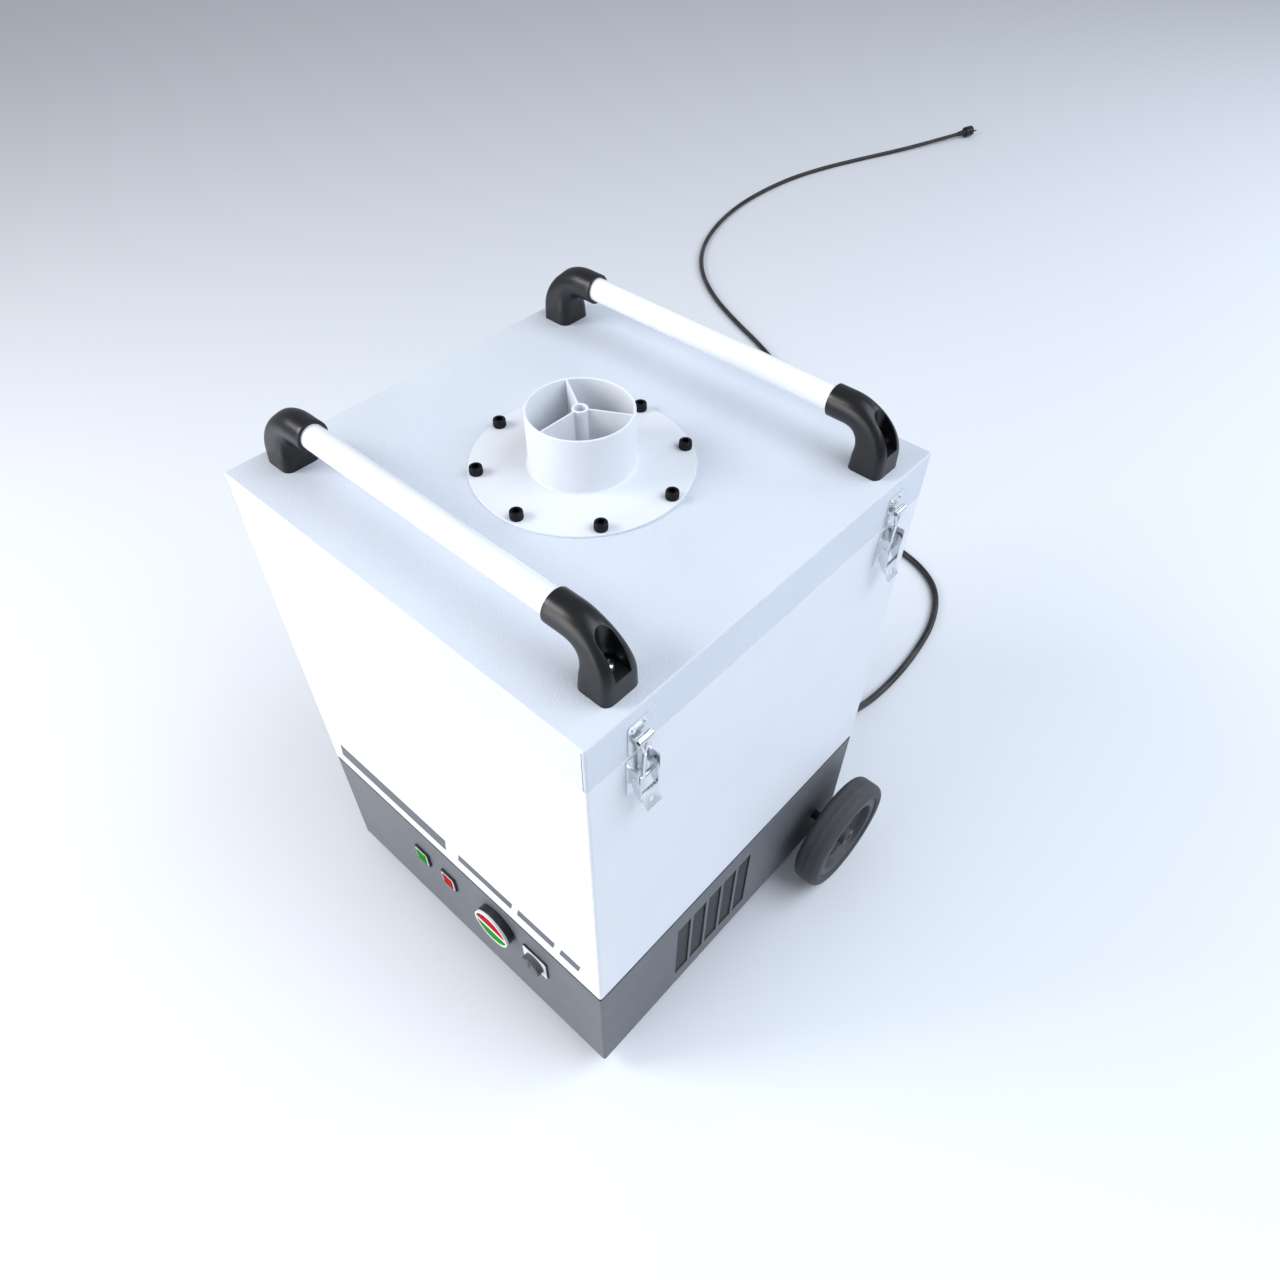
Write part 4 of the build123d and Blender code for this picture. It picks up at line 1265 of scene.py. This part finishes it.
@dataclass
class Handle:
    """One lifting handle: a painted tube between two moulded elbows."""

    shop: Workshop
    end: End
    tube_radius: float = 0.015
    axis_height: float = 0.061
    reach_y: float = 0.222
    leg_x: float = 0.254
    foot_width: float = 0.038
    corner: float = 0.008
    elbow: float = 0.044
    ring_x: float = 0.188
    tube_end: float = 0.205
    ring_radius: float = 0.0192
    flare_sides: float = 0.25
    flare_inner: float = 0.29
    pocket_x: float = 0.252
    pocket_radius: float = 0.0105
    pocket_floor: float = 0.027
    screw_radius: float = 0.007
    screw_height: float = 0.0045

    def origin(self) -> Vector:
        """The point on the lid under the middle of the tube."""
        lid_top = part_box("lid_shell")[1].z
        return Vector((0.0, self.end.value * self.reach_y + CABINET_Y, lid_top))

    def tube(self) -> None:
        """The tube, hollow, with eased ends."""
        ends, r = self.tube_end, self.tube_radius
        outline = [(r - 0.002, -ends), (r - 0.0004, -ends), (r, -ends + 0.0004), (r, ends - 0.0004)]
        outline += [(r - 0.0004, ends), (r - 0.002, ends)]
        centre = self.origin() + Vector((0, 0, self.axis_height))
        bm = blank()
        add_lathe(bm, closed(outline), centre, Vector((1, 0, 0)), 64)
        name = self.end.name.lower()
        self.shop.piece(f"grab_tube_{name}", bm, HANDLE_PAINT, "lid", [f"handle_tube_{name}"], weighted=False)

    def elbow_shape(self) -> bmesh.types.BMesh:
        """The right-hand elbow about y 0 and z 0: a square foot that turns and ends as a round ring."""
        bend_z = self.axis_height - self.elbow
        bend_x = self.leg_x - self.elbow
        bm = blank()
        start = Matrix.Translation((self.leg_x, 0, 0)) @ Matrix.Rotation(math.radians(45), 4, "Z")
        bmesh.ops.create_circle(
            bm, cap_ends=True, segments=4, radius=self.foot_width / math.sqrt(2), matrix=start
        )
        bmesh.ops.bevel(
            bm, geom=bm.verts[:], offset=self.corner, offset_type="OFFSET", segments=6, profile=0.5,
            affect="VERTICES", clamp_overlap=True, material=-1,
        )
        bmesh.ops.subdivide_edges(bm, edges=[e for e in bm.edges if e.calc_length() > 0.01], cuts=5)
        bm.faces.ensure_lookup_table()
        face = bm.faces[0]
        for _ in range(3):
            face = self.pushed(bm, face, Vector((0, 0, bend_z / 3)))
        steps = 20
        turned = bmesh.ops.spin(
            bm, geom=[face], cent=(bend_x, 0, bend_z), axis=(0, -1, 0), angle=math.pi / 2, steps=steps
        )
        if face.is_valid:
            bmesh.ops.delete(bm, geom=[face], context="FACES_ONLY")
        face = next(g for g in turned["geom_last"] if isinstance(g, bmesh.types.BMFace))
        for _ in range(4):
            face = self.pushed(bm, face, Vector(((self.ring_x - bend_x) / 4, 0, 0)))
        bmesh.ops.remove_doubles(bm, verts=bm.verts[:], dist=1e-6)
        self.shaped(bm, bend_x, bend_z)
        return bm

    def pushed(self, bm: bmesh.types.BMesh, face: bmesh.types.BMFace, step: Vector) -> bmesh.types.BMFace:
        """Extrudes a face and moves it on.

        Args:
            bm: The mesh.
            face: The face at the shape's end.
            step: How far it moves.

        Returns:
            The moved face.
        """
        made = bmesh.ops.extrude_face_region(bm, geom=[face])
        moved = [g for g in made["geom"] if isinstance(g, bmesh.types.BMVert)]
        bmesh.ops.translate(bm, vec=step, verts=moved)
        if face.is_valid:
            bmesh.ops.delete(bm, geom=[face], context="FACES_ONLY")
        return next(g for g in made["geom"] if isinstance(g, bmesh.types.BMFace))

    def shaped(self, bm: bmesh.types.BMesh, bend_x: float, bend_z: float) -> None:
        """Widens the elbow towards its foot, and turns its square section into a round one towards the tube.

        Args:
            bm: The elbow.
            bend_x: The x of the middle of the bend.
            bend_z: The height of the middle of the bend.
        """
        path = bend_z + self.elbow * math.pi / 2
        for vert in bm.verts:
            if vert.co.x <= bend_x + 1e-6 and vert.co.z > bend_z:
                angle, run = math.pi / 2, path
                spot, radial = Vector((vert.co.x, 0, self.axis_height)), Vector((0, 0, 1))
            else:
                angle = max(0.0, math.atan2(vert.co.z - bend_z, vert.co.x - bend_x))
                radial = Vector((math.cos(angle), 0, math.sin(angle)))
                run = vert.co.z if angle == 0.0 else bend_z + self.elbow * angle
                low = Vector((self.leg_x, 0, vert.co.z))
                spot = low if angle == 0.0 else Vector((bend_x, 0, bend_z)) + self.elbow * radial
            away = vert.co - spot
            along, sideways = away.dot(radial), away.y
            flare = 1 - run / path
            sideways *= 1 + self.flare_sides * flare
            if along < 0:
                along *= 1 + self.flare_inner * flare
            share = min(1.0, angle / math.radians(75))
            share = share * share * (3 - 2 * share)
            size = math.hypot(along, sideways)
            scale = 1 + share * (self.ring_radius / size - 1) if size > 1e-6 else 1.0
            vert.co = spot + (radial * along + Vector((0, sideways, 0))) * scale

    def pocket(self) -> bmesh.types.BMesh:
        """The upright pocket over the foot's screw, open to the outside."""
        low = Vector((self.pocket_x, 0, self.pocket_floor))
        bm = blank()
        add_rod(bm, low, low + Vector((0, 0, 0.09)), self.pocket_radius, 48)
        for vert in bm.verts:
            if vert.co.x > self.pocket_x + 1e-5:
                vert.co.x += 0.04
        return bm

    def bracket(self, side: Side) -> None:
        """One elbow, with the mouth for the tube and the slot for its screw.

        Args:
            side: Which end of the tube it holds.
        """
        bm = self.elbow_shape()
        bm = carved(bm, self.pocket())
        mouth = blank()
        axis_low = Vector((self.ring_x - 0.004, 0, self.axis_height))
        deep = Vector((self.tube_end + 0.001, 0, self.axis_height))
        add_rod(mouth, axis_low, deep, self.tube_radius + 0.0002, 64)
        bm = carved(bm, mouth)
        ease(bm, sharp_edges(bm, 50.0), 0.0007, 3)
        place = Matrix.Translation(self.origin())
        if side is Side.LEFT:
            place = place @ Matrix.Diagonal((-1, 1, 1, 1))
        bmesh.ops.transform(bm, matrix=place, verts=bm.verts[:])
        end, name = self.end.name.lower(), side.name.lower()
        self.shop.piece(
            f"elbow_{end}_{name}", bm, BLACK_NYLON, "lid", [f"handle_bracket_{end}_{name}"], weighted=False
        )

    def screws(self) -> None:
        """The domed cross-head screws on the floors of the pockets."""
        bm = blank()
        r, h = self.screw_radius, self.screw_height
        for side in Side:
            seat = self.origin() + Vector((side.value * self.pocket_x, 0, self.pocket_floor))
            head = blank()
            dome = [(0, 0), (r, 0), (r, h * 0.35), (r * 0.96, h * 0.58), (r * 0.82, h * 0.80)]
            add_lathe(head, [*dome, (r * 0.55, h * 0.95), (0, h)], seat, Vector((0, 0, 1)), 40)
            for turn in (20, 110):
                tool = blank()
                add_block(tool, (-r * 0.62, -0.0007, h * 0.45), (r * 0.62, 0.0007, h * 1.5))
                place = Matrix.Translation(seat) @ Matrix.Rotation(math.radians(turn), 4, "Z")
                bmesh.ops.transform(tool, matrix=place, verts=tool.verts[:])
                head = carved(head, tool)
            ready = bpy.data.meshes.new("screw")
            head.to_mesh(ready)
            head.free()
            bm.from_mesh(ready)
            bpy.data.meshes.remove(ready)
        self.shop.piece(
            f"foot_screws_{self.end.name.lower()}", bm, ZINC, "lid", ["handle_screws"], weighted=False
        )

    def build(self) -> None:
        """Builds the tube, both elbows and their screws."""
        self.tube()
        for side in Side:
            self.bracket(side)
        self.screws()


# ---------------------------------------------------------------- latches


@dataclass
class Latch:
    """One toggle latch, from its CAD pieces, with eased edges."""

    shop: Workshop
    end: End
    side: Side

    def build(self) -> None:
        """Builds the lever and the link."""
        where = f"{self.end.name.lower()}_{self.side.name.lower()}"
        self.shop.refine(f"latch_lever_{where}", ZINC, f"lever_{where}", 0.00025, 2)
        self.shop.refine(f"latch_link_{where}", ZINC, f"link_{where}", 0.0002, 1)


# ---------------------------------------------------------------- wheels


@dataclass
class Wheel:
    """One wheel: a solid tyre on a moulded hub."""

    shop: Workshop
    side: Side
    radius: float = 0.100
    width: float = 0.045
    seat: float = 0.078
    shoulder: float = 0.012
    recess: float = 0.062
    web: float = 0.004
    boss: float = 0.0155
    bore: float = 0.00806
    hole_circle: float = 0.040
    holes: int = 6

    def centre(self) -> Vector:
        """The middle of the wheel."""
        return middle(f"wheel_tyre_{self.side.name.lower()}")

    def tyre(self) -> None:
        """The tyre, with round shoulders and a fine mould line."""
        r, half, s = self.radius, self.width / 2, self.shoulder
        outline = [(self.seat, -half + 0.004), *arc((self.seat + 0.004, -half + 0.0035), 0.0025, 180, 270, 3)]
        outline += [*arc((r - s, -half + s), s, 270, 360, 8), (r, -0.0006), (r + 0.0002, 0.0), (r, 0.0006)]
        outline += arc((r - s, half - s), s, 0, 90, 8)
        outline += arc((self.seat + 0.004, half - 0.0035), 0.0025, 90, 180, 3)
        outline += [(self.seat, half - 0.004)]
        bm = blank()
        add_lathe(bm, closed(outline), self.centre(), Vector((1, 0, 0)), 96)
        name = self.side.name.lower()
        self.shop.piece(
            f"tyre_{name}", bm, TYRE_RUBBER, f"wheel_{name}", [f"wheel_tyre_{name}"], weighted=False
        )

    def hub(self) -> None:
        """The hub, dished on both faces, with a bored boss and six holes."""
        half = self.width / 2
        lip = half - 0.0035
        outline = [(self.bore, -half - 0.003), (self.boss + 0.004, -half - 0.003)]
        outline += [(self.boss + 0.005, -self.web - 0.002), (self.boss + 0.008, -self.web)]
        outline += [(self.recess - 0.004, -self.web), (self.recess, -self.web - 0.003)]
        outline += [(self.recess + 0.002, -lip)]
        outline += [(self.seat, -lip), (self.seat, lip - 0.001), (self.seat - 0.0015, lip)]
        outline += arc((self.recess + 0.004, lip - 0.002), 0.002, 90, 180, 4)
        outline += arc((self.recess - 0.005, self.web + 0.004), 0.004, 0, -90, 5)
        outline += [(self.boss + 0.004, self.web)]
        outline += arc((self.boss + 0.003, self.web + 0.003), 0.003, 270, 180, 4)
        outline += arc((self.boss - 0.002, half - 0.005), 0.002, 0, 90, 4)
        outline += [(self.bore + 0.0008, half - 0.003), (self.bore, half - 0.0038)]
        bm = blank()
        add_lathe(bm, closed(outline), self.centre(), Vector((self.side.value, 0, 0)), 96)
        cutter = blank()
        for i in range(self.holes):
            turn = FULL_TURN * (i + 0.5) / self.holes
            spot = self.centre() + self.hole_circle * Vector((0, math.cos(turn), math.sin(turn)))
            add_rod(cutter, spot - Vector((0.02, 0, 0)), spot + Vector((0.02, 0, 0)), 0.0035, 20)
        bm = carved(bm, cutter)
        name = self.side.name.lower()
        nodes = [f"wheel_hub_{name}"]
        self.shop.piece(f"hub_{name}", bm, HUB_PLASTIC, f"wheel_{name}", nodes, weighted=False)

    def build(self) -> None:
        """Builds the tyre and the hub."""
        self.tyre()
        self.hub()


# ---------------------------------------------------------------- inside


@dataclass
class Inside:
    """The filter, the fan and the small fittings, which keep their CAD shapes."""

    shop: Workshop
    finishes: dict[str, Finish] = field(
        default_factory=lambda: {
            "control_box": SHEET_STEEL,
            # The axle's black finish is painted shade: its stub sits in deep shadow between the base and the
            # wheel.
            "axle": BLACK_OXIDE,
            "axle_brackets": SHEET_STEEL,
            "filter_rails": SHEET_STEEL,
            "filter_frame": SHEET_STEEL,
            "filter_media": FILTER_CARD,
            "prefilter_mat": FILTER_MAT,
            "motor_mount": SHEET_STEEL,
            "fan_motor": MOTOR_PAINT,
            "fan_impeller": SHEET_STEEL,
            "inlet_cone": SHEET_STEEL,
        }
    )

    def build(self) -> None:
        """Dresses every inner node."""
        for node, finish in self.finishes.items():
            self.shop.dress(node, finish)


def main() -> None:
    """Builds the studio and every sub-assembly, in order."""
    logging.basicConfig(level=logging.INFO, format="%(message)s")
    shop = Workshop()
    Studio().build()
    MainsCable(shop).build()
    Cabinet(shop).build()
    ControlPanel(shop).build()
    Lid(shop).build()
    for end in End:
        Handle(shop, end).build()
    shop.refine("latch_bases", ZINC, "cabinet", 0.00025, 2)
    shop.refine("latch_strikes", ZINC, "lid", 0.00025, 2)
    for end in End:
        for side in Side:
            Latch(shop, end, side).build()
    for side in Side:
        Wheel(shop, side).build()
    Inside(shop).build()


if __name__ == "__main__":
    main()
